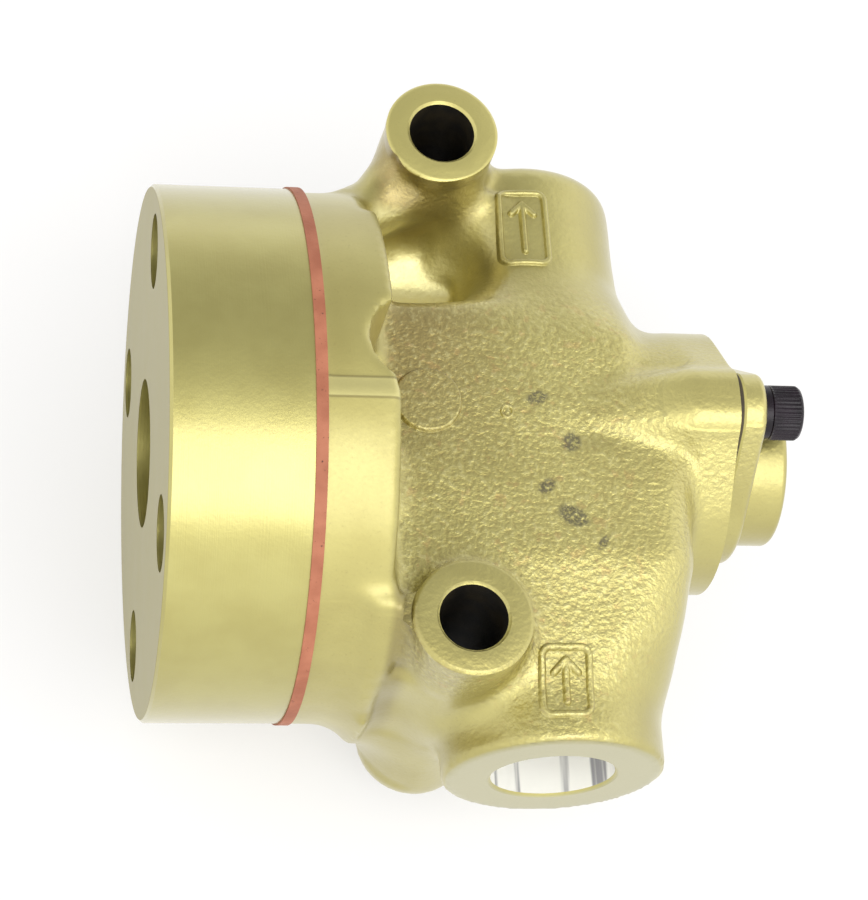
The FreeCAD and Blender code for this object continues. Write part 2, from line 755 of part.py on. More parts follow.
def ear_thread(name, side):
    """The tapped hole of one ear."""
    depth = "cap_bolt_length - (cap_bolt_seat - body_end) + tap_runout"
    return cylinder(name, "cap_bolt_diameter / 2 + thread_clearance", depth,
                    x="body_end - (%s)" % depth, z=side, turn=CYLINDER_TO_X)


cuts = [
    bore("cylinder_cut", "body_face", "cylinder_floor", "cylinder_bore / 2"),
    bore("bush_bore", "cylinder_floor", "partition_end", "bush_diameter / 2 + fit_clearance"),
    bore("outlet_chamber", "partition_end", "seat_wall_front", "chamber_bore / 2"),
    bore("seat_bore", "seat_wall_front", "seat_wall_back", "seat_diameter / 2 + fit_clearance"),
    bore("inlet_chamber", "seat_wall_back", "inlet_chamber_end", "chamber_bore / 2"),
    bore("end_bore_cut", "inlet_chamber_end", "body_end", "end_bore / 2"),
    inlet_socket,
    inlet_throat,
    outlet_socket,
    inlet_passage,
    outlet_passage,
    mounting_bore("outlet_boss_bore", "boss_outlet_side"),
    mounting_bore("inlet_boss_bore", "-boss_inlet_side"),
    bolt_holes("flange_threads", "cover_bolt_diameter / 2 + thread_clearance", "body_face",
               "flange_thickness"),
    ear_thread("front_ear_thread", "ear_distance"),
    ear_thread("rear_ear_thread", "-ear_distance"),
    cylinder("bleed", "bleed_hole / 2", "partition_thickness", x="cylinder_floor",
             y="bleed_offset", turn=CYLINDER_TO_X),
    cylinder("flange_relief", "relief_diameter / 2", "cover_diameter / 2 - casting_flat",
             x="flange_back + relief_offset", y="relief_rise", z="casting_flat"),
]
valve_body = cut("valve_body", casting, fuse("body_cuts", cuts))

# Cover, with its pilot port and counterbored screw holes

cover_blank = turned("cover_blank", [
    ("0", "pilot_port_diameter / 2"),
    ("0", "cover_diameter / 2"),
    ("cover_thickness", "cover_diameter / 2"),
    ("cover_thickness", "pilot_passage_diameter / 2"),
    ("pilot_port_depth", "pilot_passage_diameter / 2"),
    ("pilot_port_depth", "pilot_port_diameter / 2"),
])
soften(cover_blank, [("0", "cover_diameter / 2", "cover_edge_chamfer")], kind="Chamfer")
cover_cuts = fuse("cover_cuts", [
    bolt_holes("cover_counterbores", "counterbore_diameter / 2", "0", "counterbore_depth"),
    bolt_holes("cover_clearance_holes", "cover_bolt_diameter / 2 + cover_bolt_clearance", "0",
               "cover_thickness"),
])
main_cover = cut("main_cover", cover_blank, cover_cuts)

gasket_blank = turned("gasket_blank", [
    ("cover_thickness", "gasket_inner_diameter / 2"),
    ("cover_thickness", "cover_diameter / 2 + gasket_proud"),
    ("body_face", "cover_diameter / 2 + gasket_proud"),
    ("body_face", "gasket_inner_diameter / 2"),
])
cover_gasket = cut("cover_gasket", gasket_blank, bolt_holes(
    "gasket_holes", "cover_bolt_diameter / 2 + cover_bolt_clearance", "cover_thickness",
    "gasket_thickness"))

# Socket head screws


def socket_screw(label, diameter, head, length, socket, x, y, z, turn):
    """A cylinder head screw with a hexagon socket; its own X points down the shank."""
    blank = turned(label + "_blank", [
        ("0", "0"),
        ("0", head + " / 2"),
        (diameter, head + " / 2"),
        (diameter, diameter + " / 2"),
        ("%s + %s" % (diameter, length), diameter + " / 2"),
        ("%s + %s" % (diameter, length), "0"),
    ])
    soften(blank, [("0", head + " / 2", "head_edge_round")])
    hexagon = doc.addObject("Part::Prism", label + "_socket")
    hexagon.Polygon = 6
    bind(hexagon, Circumradius=socket + " / sqrt(3)", Height=diameter + " / 2")
    hexagon.Placement = Placement(Vector(0, 0, 0), CYLINDER_TO_X)
    return place(cut(label, blank, hexagon), x, y, z, turn)


screws = []
for number, (y_sign, z_sign) in enumerate((("", ""), ("-", ""), ("-", "-"), ("", "-")), start=1):
    screws.append(socket_screw(
        "cover_screw_%d" % number, "cover_bolt_diameter", "cover_bolt_head", "cover_bolt_length",
        "cover_bolt_socket", "counterbore_depth - cover_bolt_diameter",
        y_sign + "bolt_radius * sqrt(0.5)", z_sign + "bolt_radius * sqrt(0.5)", ALONG_X))

for name, side in (("front", "ear_distance"), ("back", "-ear_distance")):
    screws.append(socket_screw(
        "cap_screw_" + name, "cap_bolt_diameter", "cap_bolt_head", "cap_bolt_length",
        "cap_bolt_socket", "cap_bolt_seat + cap_bolt_diameter", "0", side, BACK_ALONG_X))

# Spring washers under the cap screws, each with its slit

washers = []
for name, side in (("front", "ear_distance"), ("back", "-ear_distance")):
    ring = turned("cap_washer_blank_" + name, [
        ("0", "cap_bolt_diameter / 2 + cap_bolt_clearance"),
        ("0", "cap_bolt_head / 2"),
        ("cap_washer_thickness", "cap_bolt_head / 2"),
        ("cap_washer_thickness", "cap_bolt_diameter / 2 + cap_bolt_clearance"),
    ])
    slit = box("cap_washer_slit_" + name, "cap_washer_thickness", "cap_bolt_head",
               "washer_slit", z="-washer_slit / 2")
    washers.append(place(cut("cap_washer_" + name, ring, slit), "cap_plate_face", "0", side))

# End cap and its gasket


def ear_holes(name, start, length):
    """Clearance holes through both ears."""
    return fuse(name, [
        cylinder("%s_%s" % (name, side), "cap_bolt_diameter / 2 + cap_bolt_clearance", length,
                 x=start, z=offset, turn=CYLINDER_TO_X)
        for side, offset in (("front", "ear_distance"), ("back", "-ear_distance"))])


cap_plate = eared_plate("cap_plate", "cap_mid_diameter / 2", "cap_ear_radius", "cap_face",
                        "cap_plate_thickness")
outer_face = size_now("cap_plate_face")
rim = ["Edge%d" % number for number, edge in enumerate(cap_plate.Tip.Shape.Edges, start=1)
       if abs(edge.BoundBox.XMin - outer_face) < 1e-4]
dress(cap_plate, rim, "cap_plate_round")
cap_boss = turned("cap_boss", [
    ("cap_face", "0"),
    ("cap_face", "cap_boss_diameter / 2"),
    ("cap_end", "cap_boss_diameter / 2"),
    ("cap_end", "0"),
])
soften(cap_boss, [("cap_end", "cap_boss_diameter / 2", "cap_boss_round")])
end_cap = cut("end_cap", fuse("cap_solid", [cap_plate, cap_boss]), fuse("cap_cuts", [
    bore("spring_recess", "cap_face", "spring_seat", "spring_recess_diameter / 2"),
    ear_holes("cap_holes", "cap_face", "cap_plate_thickness"),
]))
cap_gasket = cut("cap_gasket", eared_plate(
    "cap_gasket_blank", "cap_mid_diameter / 2", "cap_ear_radius", "body_end",
    "cap_gasket_thickness"), fuse("cap_gasket_cuts", [
        bore("cap_gasket_bore", "body_end", "cap_face", "end_bore / 2"),
        ear_holes("cap_gasket_holes", "body_end", "cap_gasket_thickness"),
    ]))

# Piston and what is clamped to it

groove_start = "(piston_front + piston_back - ring_groove_width) / 2"
groove_end = "(piston_front + piston_back + ring_groove_width) / 2"
groove_floor = "piston_diameter / 2 - ring_groove_depth"
stem_hole = "stem_end_diameter / 2 + stem_clearance"

power_piston = turned("power_piston", [
    ("piston_front", stem_hole),
    ("piston_front", "piston_diameter / 2"),
    (groove_start, "piston_diameter / 2"),
    (groove_start, groove_floor),
    (groove_end, groove_floor),
    (groove_end, "piston_diameter / 2"),
    ("piston_back", "piston_diameter / 2"),
    ("piston_back", stem_hole),
])
piston_seal = turned("piston_seal", [
    (groove_start + " + ring_side_gap", groove_floor + " + ring_side_gap"),
    (groove_start + " + ring_side_gap", "piston_diameter / 2"),
    (groove_end + " - ring_side_gap", "piston_diameter / 2"),
    (groove_end + " - ring_side_gap", groove_floor + " + ring_side_gap"),
])
piston_washer = turned("piston_washer", [
    ("piston_front - piston_washer_thickness", stem_hole),
    ("piston_front - piston_washer_thickness", "piston_washer_diameter / 2"),
    ("piston_front", "piston_washer_diameter / 2"),
    ("piston_front", stem_hole),
])


def stem_nut(label, start):
    """A hexagon nut on a threaded end of the stem."""
    hexagon = doc.addObject("Part::Prism", label + "_hexagon")
    hexagon.Polygon = 6
    bind(hexagon, Circumradius="nut_flats / sqrt(3)", Height="nut_height")
    place(hexagon, x=start, turn=CYLINDER_TO_X)
    hole = bore(label + "_thread", start, start + " + nut_height", stem_hole)
    return cut(label, hexagon, hole)


piston_nut = stem_nut("piston_nut", "piston_nut_face")
disc_nut = stem_nut("disc_nut", "disc_hub_end")

valve_stem = turned("valve_stem", [
    ("stem_start", "0"),
    ("stem_start", "stem_end_diameter / 2"),
    ("piston_back", "stem_end_diameter / 2"),
    ("piston_back", "stem_diameter / 2"),
    ("retainer_front", "stem_diameter / 2"),
    ("retainer_front", "stem_end_diameter / 2"),
    ("stem_end", "stem_end_diameter / 2"),
    ("stem_end", "0"),
])

# Bush and ring where the stem passes the wall

bush_hole = "stem_diameter / 2 + stem_clearance"
ring_centre = "stem_diameter / 2 + ring_side_gap + o_ring_section / 2"
ring_outside = "stem_diameter / 2 + 2 * ring_side_gap + o_ring_section"
ring_middle = "cylinder_floor + partition_thickness / 2"
stem_bush = turned("stem_bush", [
    ("cylinder_floor - bush_flange_thickness", bush_hole),
    ("cylinder_floor - bush_flange_thickness", "bush_flange_diameter / 2"),
    ("cylinder_floor", "bush_flange_diameter / 2"),
    ("cylinder_floor", "bush_diameter / 2"),
    ("partition_end", "bush_diameter / 2"),
    ("partition_end", bush_hole),
    (ring_middle + " + o_ring_groove_width / 2", bush_hole),
    (ring_middle + " + o_ring_groove_width / 2", ring_outside),
    (ring_middle + " - o_ring_groove_width / 2", ring_outside),
    (ring_middle + " - o_ring_groove_width / 2", bush_hole),
])
stem_o_ring = doc.addObject("Part::Torus", "stem_o_ring")
bind(stem_o_ring, Radius1=ring_centre, Radius2="o_ring_section / 2")
place(stem_o_ring, x=ring_middle, turn=CYLINDER_TO_X)

# Seat, disc and spring

seat_ring = turned("seat_ring", [
    ("seat_wall_front - seat_tail", "seat_opening / 2"),
    ("seat_wall_front - seat_tail", "seat_diameter / 2"),
    ("seat_wall_back", "seat_diameter / 2"),
    ("seat_wall_back", "seat_flange_diameter / 2"),
    ("seat_wall_back + seat_flange_thickness", "seat_flange_diameter / 2"),
    ("seat_wall_back + seat_flange_thickness", "seat_opening / 2 + seat_lip_width"),
    ("seat_face", "seat_opening / 2 + seat_lip_width / 2"),
    ("seat_face", "seat_opening / 2"),
])
seal_retainer = turned("seal_retainer", [
    ("retainer_front", stem_hole),
    ("retainer_front", "retainer_diameter / 2"),
    ("seal_face", "retainer_diameter / 2"),
    ("seal_face", stem_hole),
])
poppet_seal = turned("poppet_seal", [
    ("seal_face", stem_hole),
    ("seal_face", "seal_diameter / 2"),
    ("disc_front", "seal_diameter / 2"),
    ("disc_front", stem_hole),
])
valve_disc = turned("valve_disc", [
    ("seal_face + seal_proud", "seal_diameter / 2 + fit_clearance"),
    ("seal_face + seal_proud", "disc_diameter / 2"),
    ("disc_back", "disc_diameter / 2"),
    ("disc_back", "disc_hub_diameter / 2"),
    ("disc_hub_end", "disc_hub_diameter / 2"),
    ("disc_hub_end", stem_hole),
    ("disc_front", stem_hole),
    ("disc_front", "seal_diameter / 2 + fit_clearance"),
])

coil_rise = "(spring_seat - disc_back - spring_wire - 2 * spring_end_gap)"
helix = doc.addObject("Part::Helix", "spring_helix")
bind(helix, Radius="spring_mean_diameter / 2", Height=coil_rise,
     Pitch=coil_rise + " / spring_turns")
wire = doc.addObject("Part::Circle", "spring_wire_section")
bind(wire, Radius="spring_wire / 2")
place(wire, x="spring_mean_diameter / 2", turn=CYLINDER_TO_Y)
return_spring = doc.addObject("Part::Sweep", "return_spring")
return_spring.Sections = [wire]
return_spring.Spine = (helix, [])
return_spring.Solid = True
return_spring.Frenet = True
place(return_spring, x="disc_back + spring_wire / 2 + spring_end_gap", turn=CYLINDER_TO_X)

# Check every object, then write one file for each piece

pieces = [valve_body, main_cover, cover_gasket, *screws, *washers, end_cap, cap_gasket,
          power_piston, piston_seal, piston_washer, piston_nut, valve_stem, stem_bush,
          stem_o_ring, seat_ring, seal_retainer, poppet_seal, valve_disc, disc_nut,
          return_spring]
doc.recompute()
for item in doc.Objects:
    if "Invalid" in item.State or "Error" in item.State:
        raise RuntimeError("%s failed: %s" % (item.Name, item.State))
os.makedirs("parts", exist_ok=True)
for piece in pieces:
    shape = piece.Shape
    if shape.isNull() or not shape.isValid():
        raise RuntimeError(piece.Label + " has no valid shape")
    shape.exportStep("parts/%s.step" % piece.Label)
    print("%-18s solids %d  volume %9.1f" % (piece.Label, len(shape.Solids), shape.Volume))
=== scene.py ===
# %% [markdown]
# # Dressing a pilot operated valve
# The valve arrives as a finished frame: every steel, brass and cast part is already in its place,
# in metres, with the origin at the middle of the round cover's outer face. This lesson adds what
# an engineering model leaves out. The casting gets the soft fillets and the skin of a sand
# mould, the metals get their finishes, and a camera and lights stand where the
# photographer had them.

# %% Load the frame
import json
import math
from collections import namedtuple

import bmesh
import bpy
import numpy as np
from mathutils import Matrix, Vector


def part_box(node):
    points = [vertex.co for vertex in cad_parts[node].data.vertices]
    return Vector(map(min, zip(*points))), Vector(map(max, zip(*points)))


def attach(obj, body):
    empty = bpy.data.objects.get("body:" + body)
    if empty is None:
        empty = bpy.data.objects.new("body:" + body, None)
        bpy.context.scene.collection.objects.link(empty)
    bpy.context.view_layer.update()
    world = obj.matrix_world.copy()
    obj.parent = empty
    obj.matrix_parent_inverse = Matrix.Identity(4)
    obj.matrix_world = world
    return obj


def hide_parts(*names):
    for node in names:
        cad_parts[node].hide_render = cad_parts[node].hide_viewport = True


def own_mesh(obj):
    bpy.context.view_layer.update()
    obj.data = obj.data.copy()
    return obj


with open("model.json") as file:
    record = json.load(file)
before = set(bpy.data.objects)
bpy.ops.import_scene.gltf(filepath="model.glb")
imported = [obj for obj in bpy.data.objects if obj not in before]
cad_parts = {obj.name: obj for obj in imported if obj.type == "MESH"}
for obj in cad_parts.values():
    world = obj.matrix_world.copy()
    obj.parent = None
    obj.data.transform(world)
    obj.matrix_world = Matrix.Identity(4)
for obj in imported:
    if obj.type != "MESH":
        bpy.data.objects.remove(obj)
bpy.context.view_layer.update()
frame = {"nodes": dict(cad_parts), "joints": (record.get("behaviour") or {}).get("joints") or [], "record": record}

import openvdb
from mathutils import Matrix, Vector

nodes = frame["nodes"]
MM = 0.001


# %% Put things in the scene


def put_in_scene(name, data):
    """An object at the origin for a mesh, a lamp or a camera."""
    made = bpy.data.objects.new(name, data)
    bpy.context.scene.collection.objects.link(made)
    return made


def new_mesh(name, points, faces):
    """A mesh from points in millimetres and from faces as rows of point numbers."""
    mesh = bpy.data.meshes.new(name)
    rows = [list(map(int, face)) for face in faces]
    mesh.from_pydata((np.asarray(points) * MM).tolist(), [], rows)
    return mesh


print("scene helpers ready")

# %% [markdown]
# ## Camera
# The photograph looks down on the front of the casting with a long lens. Its place was worked out
# once from points that can be recognised in the picture and measured on the model, such as the
# rims of the cover and of the bores. Three numbers turn the camera, three place it, and one sets
# the lens, so all that is left is to write the rotation as a matrix whose rows are the camera's
# right, up and backward directions.

# %% Place the camera
camera_place = np.array([-49.876, -232.498, 514.594]) * MM
camera_rows = np.array([
    [0.98298, -0.05667, 0.17477],
    [-0.02052, 0.91141, 0.41099],
    [-0.18258, -0.40758, 0.89473],
])
focal_in_pixels = 3032.9
long_side = 900                       # of the picture, in pixels
sensor = 36.0                         # the same side on the sensor, in millimetres

camera = put_in_scene("camera", bpy.data.cameras.new("camera"))
matrix = np.eye(4)
matrix[:3, :3] = camera_rows.T
matrix[:3, 3] = camera_place
camera.matrix_world = Matrix(matrix.tolist())
camera.data.sensor_width = sensor
camera.data.lens = focal_in_pixels * sensor / long_side
camera.data.clip_start = 0.01
camera.data.clip_end = 20.0
bpy.context.scene.camera = camera
print("camera at", camera_place.round(4), "lens", round(camera.data.lens, 1), "mm")

# %% [markdown]
# ## Shader arithmetic
# Material nodes are little sums: a noise, a mask, one minus the mask. Building them by hand takes
# a dozen lines each, so one small class wraps a socket and lets Python's own signs add the Math
# nodes. A second class holds one node tree and has a single method for every other kind of node.

# %% Wires and finishes


class Wire:
    """An output socket that can stand in a sum, such as 1 - mask or grain * 0.3."""

    def __init__(self, tree, socket):
        self.tree = tree
        self.socket = socket

    def _math(self, operation, first, second):
        return self.tree.node("ShaderNodeMath", {"operation": operation}, {0: first, 1: second})

    def __add__(self, other):
        return self._math("ADD", self, other)

    def __sub__(self, other):
        return self._math("SUBTRACT", self, other)

    def __rsub__(self, other):
        return self._math("SUBTRACT", other, self)

    def __mul__(self, other):
        return self._math("MULTIPLY", self, other)

    def __truediv__(self, other):
        return self._math("DIVIDE", self, other)

    def __pow__(self, other):
        return self._math("POWER", self, other)

    def root(self):
        return self ** 0.5


class Tree:
    """A node tree: one method adds any node, two more make soft masks."""

    def __init__(self, nodes_and_links):
        self.tree = nodes_and_links
        self.tree.nodes.clear()

    def node(self, kind, settings=None, values=None, output=0):
        """Add a node: its settings first, then the numbers or links of its sockets."""
        made = self.tree.nodes.new(kind)
        for name, setting in (settings or {}).items():
            setattr(made, name, setting)
        for name, value in (values or {}).items():
            if isinstance(value, Wire):
                self.tree.links.new(value.socket, made.inputs[name])
            else:
                made.inputs[name].default_value = value
        return Wire(self, made.outputs[output])

    def between(self, value, low, high):
        """0 below low, 1 above high, and a smooth rise from one to the other."""
        return self.node("ShaderNodeMapRange", {"interpolation_type": "SMOOTHSTEP"},
                         {"Value": value, "From Min": low, "From Max": high})

    def until(self, value, low, high):
        """1 below low, 0 above high, and a smooth fall from one to the other."""
        return 1.0 - self.between(value, low, high)


def paint(red, green, blue):
    """The linear colour of a screen colour with parts from 0 to 255."""
    parts = np.array([red, green, blue]) / 255.0
    low = parts / 12.92
    high = ((parts + 0.055) / 1.055) ** 2.4
    return (*np.where(parts <= 0.04045, low, high), 1.0)


finishes = {}


class Finish(Tree):
    """A material: a Principled shader, positions in millimetres, and a few usual patterns."""

    def __init__(self, name, **constants):
        finishes[name] = self
        self.material = bpy.data.materials.new(name)
        self.material.use_nodes = True
        super().__init__(self.material.node_tree)
        self.shader = self.tree.nodes.new("ShaderNodeBsdfPrincipled")
        end = self.tree.nodes.new("ShaderNodeOutputMaterial")
        self.tree.links.new(self.shader.outputs[0], end.inputs["Surface"])
        for name, value in constants.items():
            self.shader.inputs[name.replace("_", " ")].default_value = value
        metres = self.node("ShaderNodeTexCoord", output="Object")
        self.place = self.node("ShaderNodeVectorMath", {"operation": "SCALE"},
                               {0: metres, "Scale": 1000.0})
        self.x, self.y, self.z = [
            self.node("ShaderNodeSeparateXYZ", None, {0: self.place}, axis) for axis in "XYZ"]

    def noise(self, size, detail=2.0, roughness=0.5, place=None):
        """Soft random blobs about that many millimetres across, from 0 to 1."""
        return self.node("ShaderNodeTexNoise", None, {
            "Vector": place or self.place, "Scale": 1.0 / size, "Detail": detail,
            "Roughness": roughness})

    def vector(self, x, y, z):
        """Three numbers or wires as one place, for a noise that is stretched or wound up."""
        return self.node("ShaderNodeCombineXYZ", None, {0: x, 1: y, 2: z})

    def mix(self, share, first, second):
        """The first colour where share is 0, the second where it is 1."""
        return self.node("ShaderNodeMix", {"data_type": "RGBA"},
                         {0: share, 6: first, 7: second}, 2)

    def bump(self, height, millimetres):
        """A bump whose full height is that many millimetres."""
        return self.node("ShaderNodeBump", None, {
            "Height": height, "Distance": millimetres * MM, "Strength": 1.0})

    def feed(self, **sockets):
        """Lead wires to the shader's sockets, with _ for a space in a socket's name."""
        for name, wire in sockets.items():
            self.tree.links.new(wire.socket, self.shader.inputs[name.replace("_", " ")])


print("shader helpers ready")

# %% [markdown]
# ## Paint on the casting
# The casting wears a greenish gold metallic paint, sprayed over the raw skin of the sand mould.
# The flat front shows the sand clearly as a fine orange peel, while the flange and the columns are
# smoother. Two noises at different scales make the peel, and a mask in millimetres says where it
# is strong: a painted highlight on the peel's crests, painted shade in its pits, and rusty specks
# where sand stuck. Beside the flange the paint is darker and browner. The flat is painted lighter
# towards the far columns, a painted light, the hollow's slope and the outlet boss's face carry a
# painted highlight, painted shade fills the valley by the inlet boss, and a few smudges of marking
# ink are left on the flat. On the flange's rim, where the mould's halves met, a painted highlight
# on the step lies between two lines of painted shade.
#
# The masks come first, each 1 in its place and 0 elsewhere. The colours follow as a list of coats.

# %% Where the paint on the casting changes
cast_paint = Finish("cast_paint", Metallic=0.9, IOR=1.5, Coat_Weight=1.0, Coat_Roughness=0.3)
between, until = cast_paint.between, cast_paint.until
at_x, at_y, at_z = cast_paint.x, cast_paint.y, cast_paint.z
patches = cast_paint.noise(16.0, 3.0)
grit = cast_paint.noise(0.6, 3.0, 0.6)
peel = cast_paint.noise(1.0, 2.0, 0.5)
specks = cast_paint.noise(2.2, 2.0)

on_front = between(at_z, 14.0, 23.0)
past_flange = between(at_x, 40.5, 44.0)
boss_ring = between(at_z, 28.8, 29.4)
# painted highlight: lighter paint on the outlet boss's face
outlet_face_highlight = boss_ring * past_flange * between(at_y, 30.0, 40.0)
flat_area = on_front * past_flange * (1.0 - between(at_y, 14.0, 30.0) * 0.75)
sandy = flat_area * (1.0 - boss_ring) * (1.0 - between(at_x, 82.0, 94.0) * 0.8)
rough_share = flat_area * (between(at_x, 42.0, 60.0) * 0.2 + 0.7) + 0.25
# painted light: the flat's paint grows lighter from x 52 towards the far columns
flat_painted_light = flat_area * between(at_x, 52.0, 88.0)
# painted highlight on the hollow's slope below the flat's edge
ramp_highlight = between(at_y, 17.0, 24.0) * until(at_y, 39.5, 42.5) * until(at_x, 60.0, 67.0)
# darker and browner paint beside the flange, from the flat's middle up round the outlet boss
browner_by_flange = (between(at_y, -22.0, 16.0) * (1.0 - ramp_highlight) * until(at_x, 46.0, 72.0)
              * past_flange * (1.0 - boss_ring) * until(at_y, 50.0, 60.0))
# painted shade in the valley between the flange and the inlet boss
valley_shade = (between(at_x, 39.4, 41.2) * until(at_x, 42.6, 45.5) * until(at_y, -40.0, -35.0)
             * between(at_z, -16.0, 2.0))
inlet_rim = until(at_y, -62.95, -62.6)
on_flange_rim = until(at_x, 39.6, 40.4) * between(at_z, 30.0, 36.0)
ink = flat_area * between(grit, 0.34, 0.56)


def strip(low, high, soft):
    """1 on the flange's rim between two places along Y."""
    return on_flange_rim * between(at_y, low - soft, low) * until(at_y, high, high + soft)


def smudge(x, y, long, wide, turn):
    """A soft oval mark on the front: 1 inside and 0 outside, with the long way turned."""
    turn = math.radians(turn)
    away_x, away_y = at_x - x, at_y - y
    along = (away_x * math.cos(turn) + away_y * math.sin(turn)) / long
    across = (away_y * math.cos(turn) - away_x * math.sin(turn)) / wide
    return until((along * along + across * across).root(), 0.6, 1.1)


smudges = smudge(69.8, 1.3, 2.4, 1.5, 20.0)
for spot in [(75.7, -7.2, 2.4, 2.0, 60.0), (70.4, -16.2, 2.2, 1.4, 40.0),
             (74.9, -22.0, 3.6, 2.2, -30.0), (80.0, -27.2, 2.0, 0.9, 50.0)]:
    smudges = smudges + smudge(*spot)
print("masks of the cast paint ready")

# %% Cast paint, one coat over the other
COATS = [
    # how much of it lies there, and its colour
    # painted light on the flat towards the far columns
    (flat_painted_light * 0.45, (204, 194, 120)),
    # painted highlight on the outlet boss's face
    (outlet_face_highlight * 0.55, (200, 190, 112)),
    # painted highlight on the hollow's slope
    (ramp_highlight * past_flange * 0.65, (234, 225, 160)),
    # darker and browner beside the flange
    (browner_by_flange * 0.75, (150, 131, 76)),
    (between(grit, 0.6, 0.8) * 0.3, (128, 113, 62)),
    # painted shade in the peel's pits, then a painted highlight on its crests
    (until(peel, 0.36, 0.5) * sandy * 0.26, (134, 114, 58)),
    (between(peel, 0.54, 0.66) * sandy * 0.26, (226, 218, 156)),
    (between(specks, 0.6, 0.7) * sandy * 0.22, (198, 150, 96)),
    # painted highlight on the flange's parting step, and painted shade along its two edges
    (strip(-10.2, -6.9, 0.3) * 0.55, (214, 206, 140)),
    ((strip(-6.8, -6.6, 0.25) + strip(-10.6, -10.4, 0.25)) * 0.5, (104, 92, 48)),
    # painted shade in the valley by the inlet boss
    (valley_shade * 0.5, (112, 96, 46)),
    (inlet_rim * 0.8, (176, 172, 134)),
    (smudges * ink * 0.72, (70, 66, 60)),
]
shade = cast_paint.mix(between(patches, 0.3, 0.7), paint(170, 160, 92), paint(181, 172, 103))
for share, colour in COATS:
    shade = cast_paint.mix(share, shade, paint(*colour))
sand = (peel + grit * 0.3) * rough_share * (1.0 - boss_ring * 0.6) * (1.0 - inlet_rim * 0.9)
cast_paint.feed(
    Base_Color=shade,
    Roughness=grit * 0.16 + 0.34 + (1.0 - past_flange) * 0.08,
    Normal=cast_paint.bump(sand, 0.32),
)
print("cast paint:", len(COATS), "coats,", len(cast_paint.tree.nodes), "nodes")

# %% [markdown]
# ## Paint on the turned cover
# The cover was turned on a lathe before it was painted. Its side carries fine rings round the
# axis, so the noise there reads only the distance along the axis. On the outer face the rings are
# circles round the centre, so the noise reads the distance from the axis.

# %% Cover paint
cover_paint = Finish("cover_paint", Metallic=0.9, IOR=1.5, Coat_Weight=1.0, Coat_Roughness=0.2)
radius = (cover_paint.y ** 2.0 + cover_paint.z ** 2.0).root()
side_rings = cover_paint.noise(0.30, 1.0, place=cover_paint.vector(cover_paint.x, 0.0, 0.0))
face_rings = cover_paint.noise(0.30, 1.0, place=cover_paint.vector(radius, 0.0, 0.0))
on_face = cover_paint.until(cover_paint.x, 0.02, 0.1)
rings = side_rings * (1.0 - on_face) + face_rings * on_face
haze = cover_paint.noise(9.0, 3.0)
dust = cover_paint.noise(0.8, 2.0, 0.6)
shade = cover_paint.mix(cover_paint.between(haze, 0.3, 0.7), paint(170, 161, 92),
                        paint(176, 168, 99))
shade = cover_paint.mix(on_face * 0.7, shade, paint(146, 138, 98))
cover_paint.feed(
    Base_Color=shade,
    Roughness=haze * 0.10 + on_face * 0.2 + 0.28,
    Coat_Weight=1.0 - on_face * 0.75,
    Normal=cover_paint.bump(rings * 0.5 + dust * 0.6, 0.05),
)
print("cover paint:", len(cover_paint.tree.nodes), "nodes")

# %% [markdown]
# ## Other finishes
# The gasket is a brick red fibre sheet, cut so that its edge shows darker specks. The screws are
# blackened steel with a faint sheen. The working parts inside are turned steel, brass, rubber and
# plastic, and each gets the marks of how it is made: rings of the lathe on steel and brass, a dull
# skin on rubber.

# %% Gaskets


def fibre_sheet(name, light, dark, painted_from=None):
    """Pressed fibre: two tones in fine flecks, and paint on its edge from some X onwards."""
    sheet = Finish(name, Metallic=0.0, IOR=1.45)
    flecks = sheet.noise(0.7, 3.0, 0.65)
    tone = sheet.noise(6.0, 2.0)
    shade = sheet.mix(sheet.between(tone, 0.3, 0.7), light, dark)
    shade = sheet.mix(sheet.between(flecks, 0.64, 0.74), shade, paint(70, 40, 32))
    if painted_from is not None:
        shade = sheet.mix(sheet.between(sheet.x, painted_from, painted_from + 0.2), shade,
                          paint(168, 159, 92))
    sheet.feed(Base_Color=shade, Roughness=flecks * 0.2 + 0.55, Normal=sheet.bump(flecks, 0.08))


fibre_sheet("gasket", paint(172, 108, 80), paint(150, 88, 62))
fibre_sheet("cap_gasket", paint(74, 64, 42), paint(58, 50, 36), painted_from=107.2)
print("gasket sheets ready")

# %% Metals, rubber and plastic


def turned_metal(name, tone, dull, rough):
    """Metal from the lathe: fine rings round the spindle axis and a slow change of tone."""
    metal = Finish(name, Metallic=1.0, IOR=1.5)
    from_axis = (metal.y ** 2.0 + metal.z ** 2.0).root()
    rings = metal.noise(0.25, 2.0, place=metal.vector(metal.x, from_axis, 0.0))
    cloud = metal.noise(5.0, 3.0)
    metal.feed(
        Base_Color=metal.mix(metal.between(cloud, 0.3, 0.7), tone, dull),
        Roughness=rings * 0.12 + rough,
        Normal=metal.bump(rings, 0.03),
    )


turned_metal("turned_steel", paint(196, 196, 194), paint(168, 168, 168), 0.24)
turned_metal("stem_steel", paint(214, 214, 212), paint(190, 190, 190), 0.14)
turned_metal("bush_brass", paint(206, 170, 96), paint(178, 142, 76), 0.26)
turned_metal("seat_brass", paint(212, 176, 100), paint(184, 148, 80), 0.20)
turned_metal("spring_steel", paint(150, 150, 152), paint(112, 112, 116), 0.30)


def soft_skin(name, tone, dull, rough, gloss=1.45):
    """A moulded skin without gloss: fine pores and a slow change of tone."""
    skin = Finish(name, Metallic=0.0, IOR=gloss)
    pores = skin.noise(0.35, 3.0, 0.6)
    cloud = skin.noise(3.5, 2.0)
    skin.feed(
        Base_Color=skin.mix(skin.between(cloud, 0.3, 0.7), tone, dull),
        Roughness=pores * 0.2 + rough,
        Normal=skin.bump(pores, 0.04),
    )


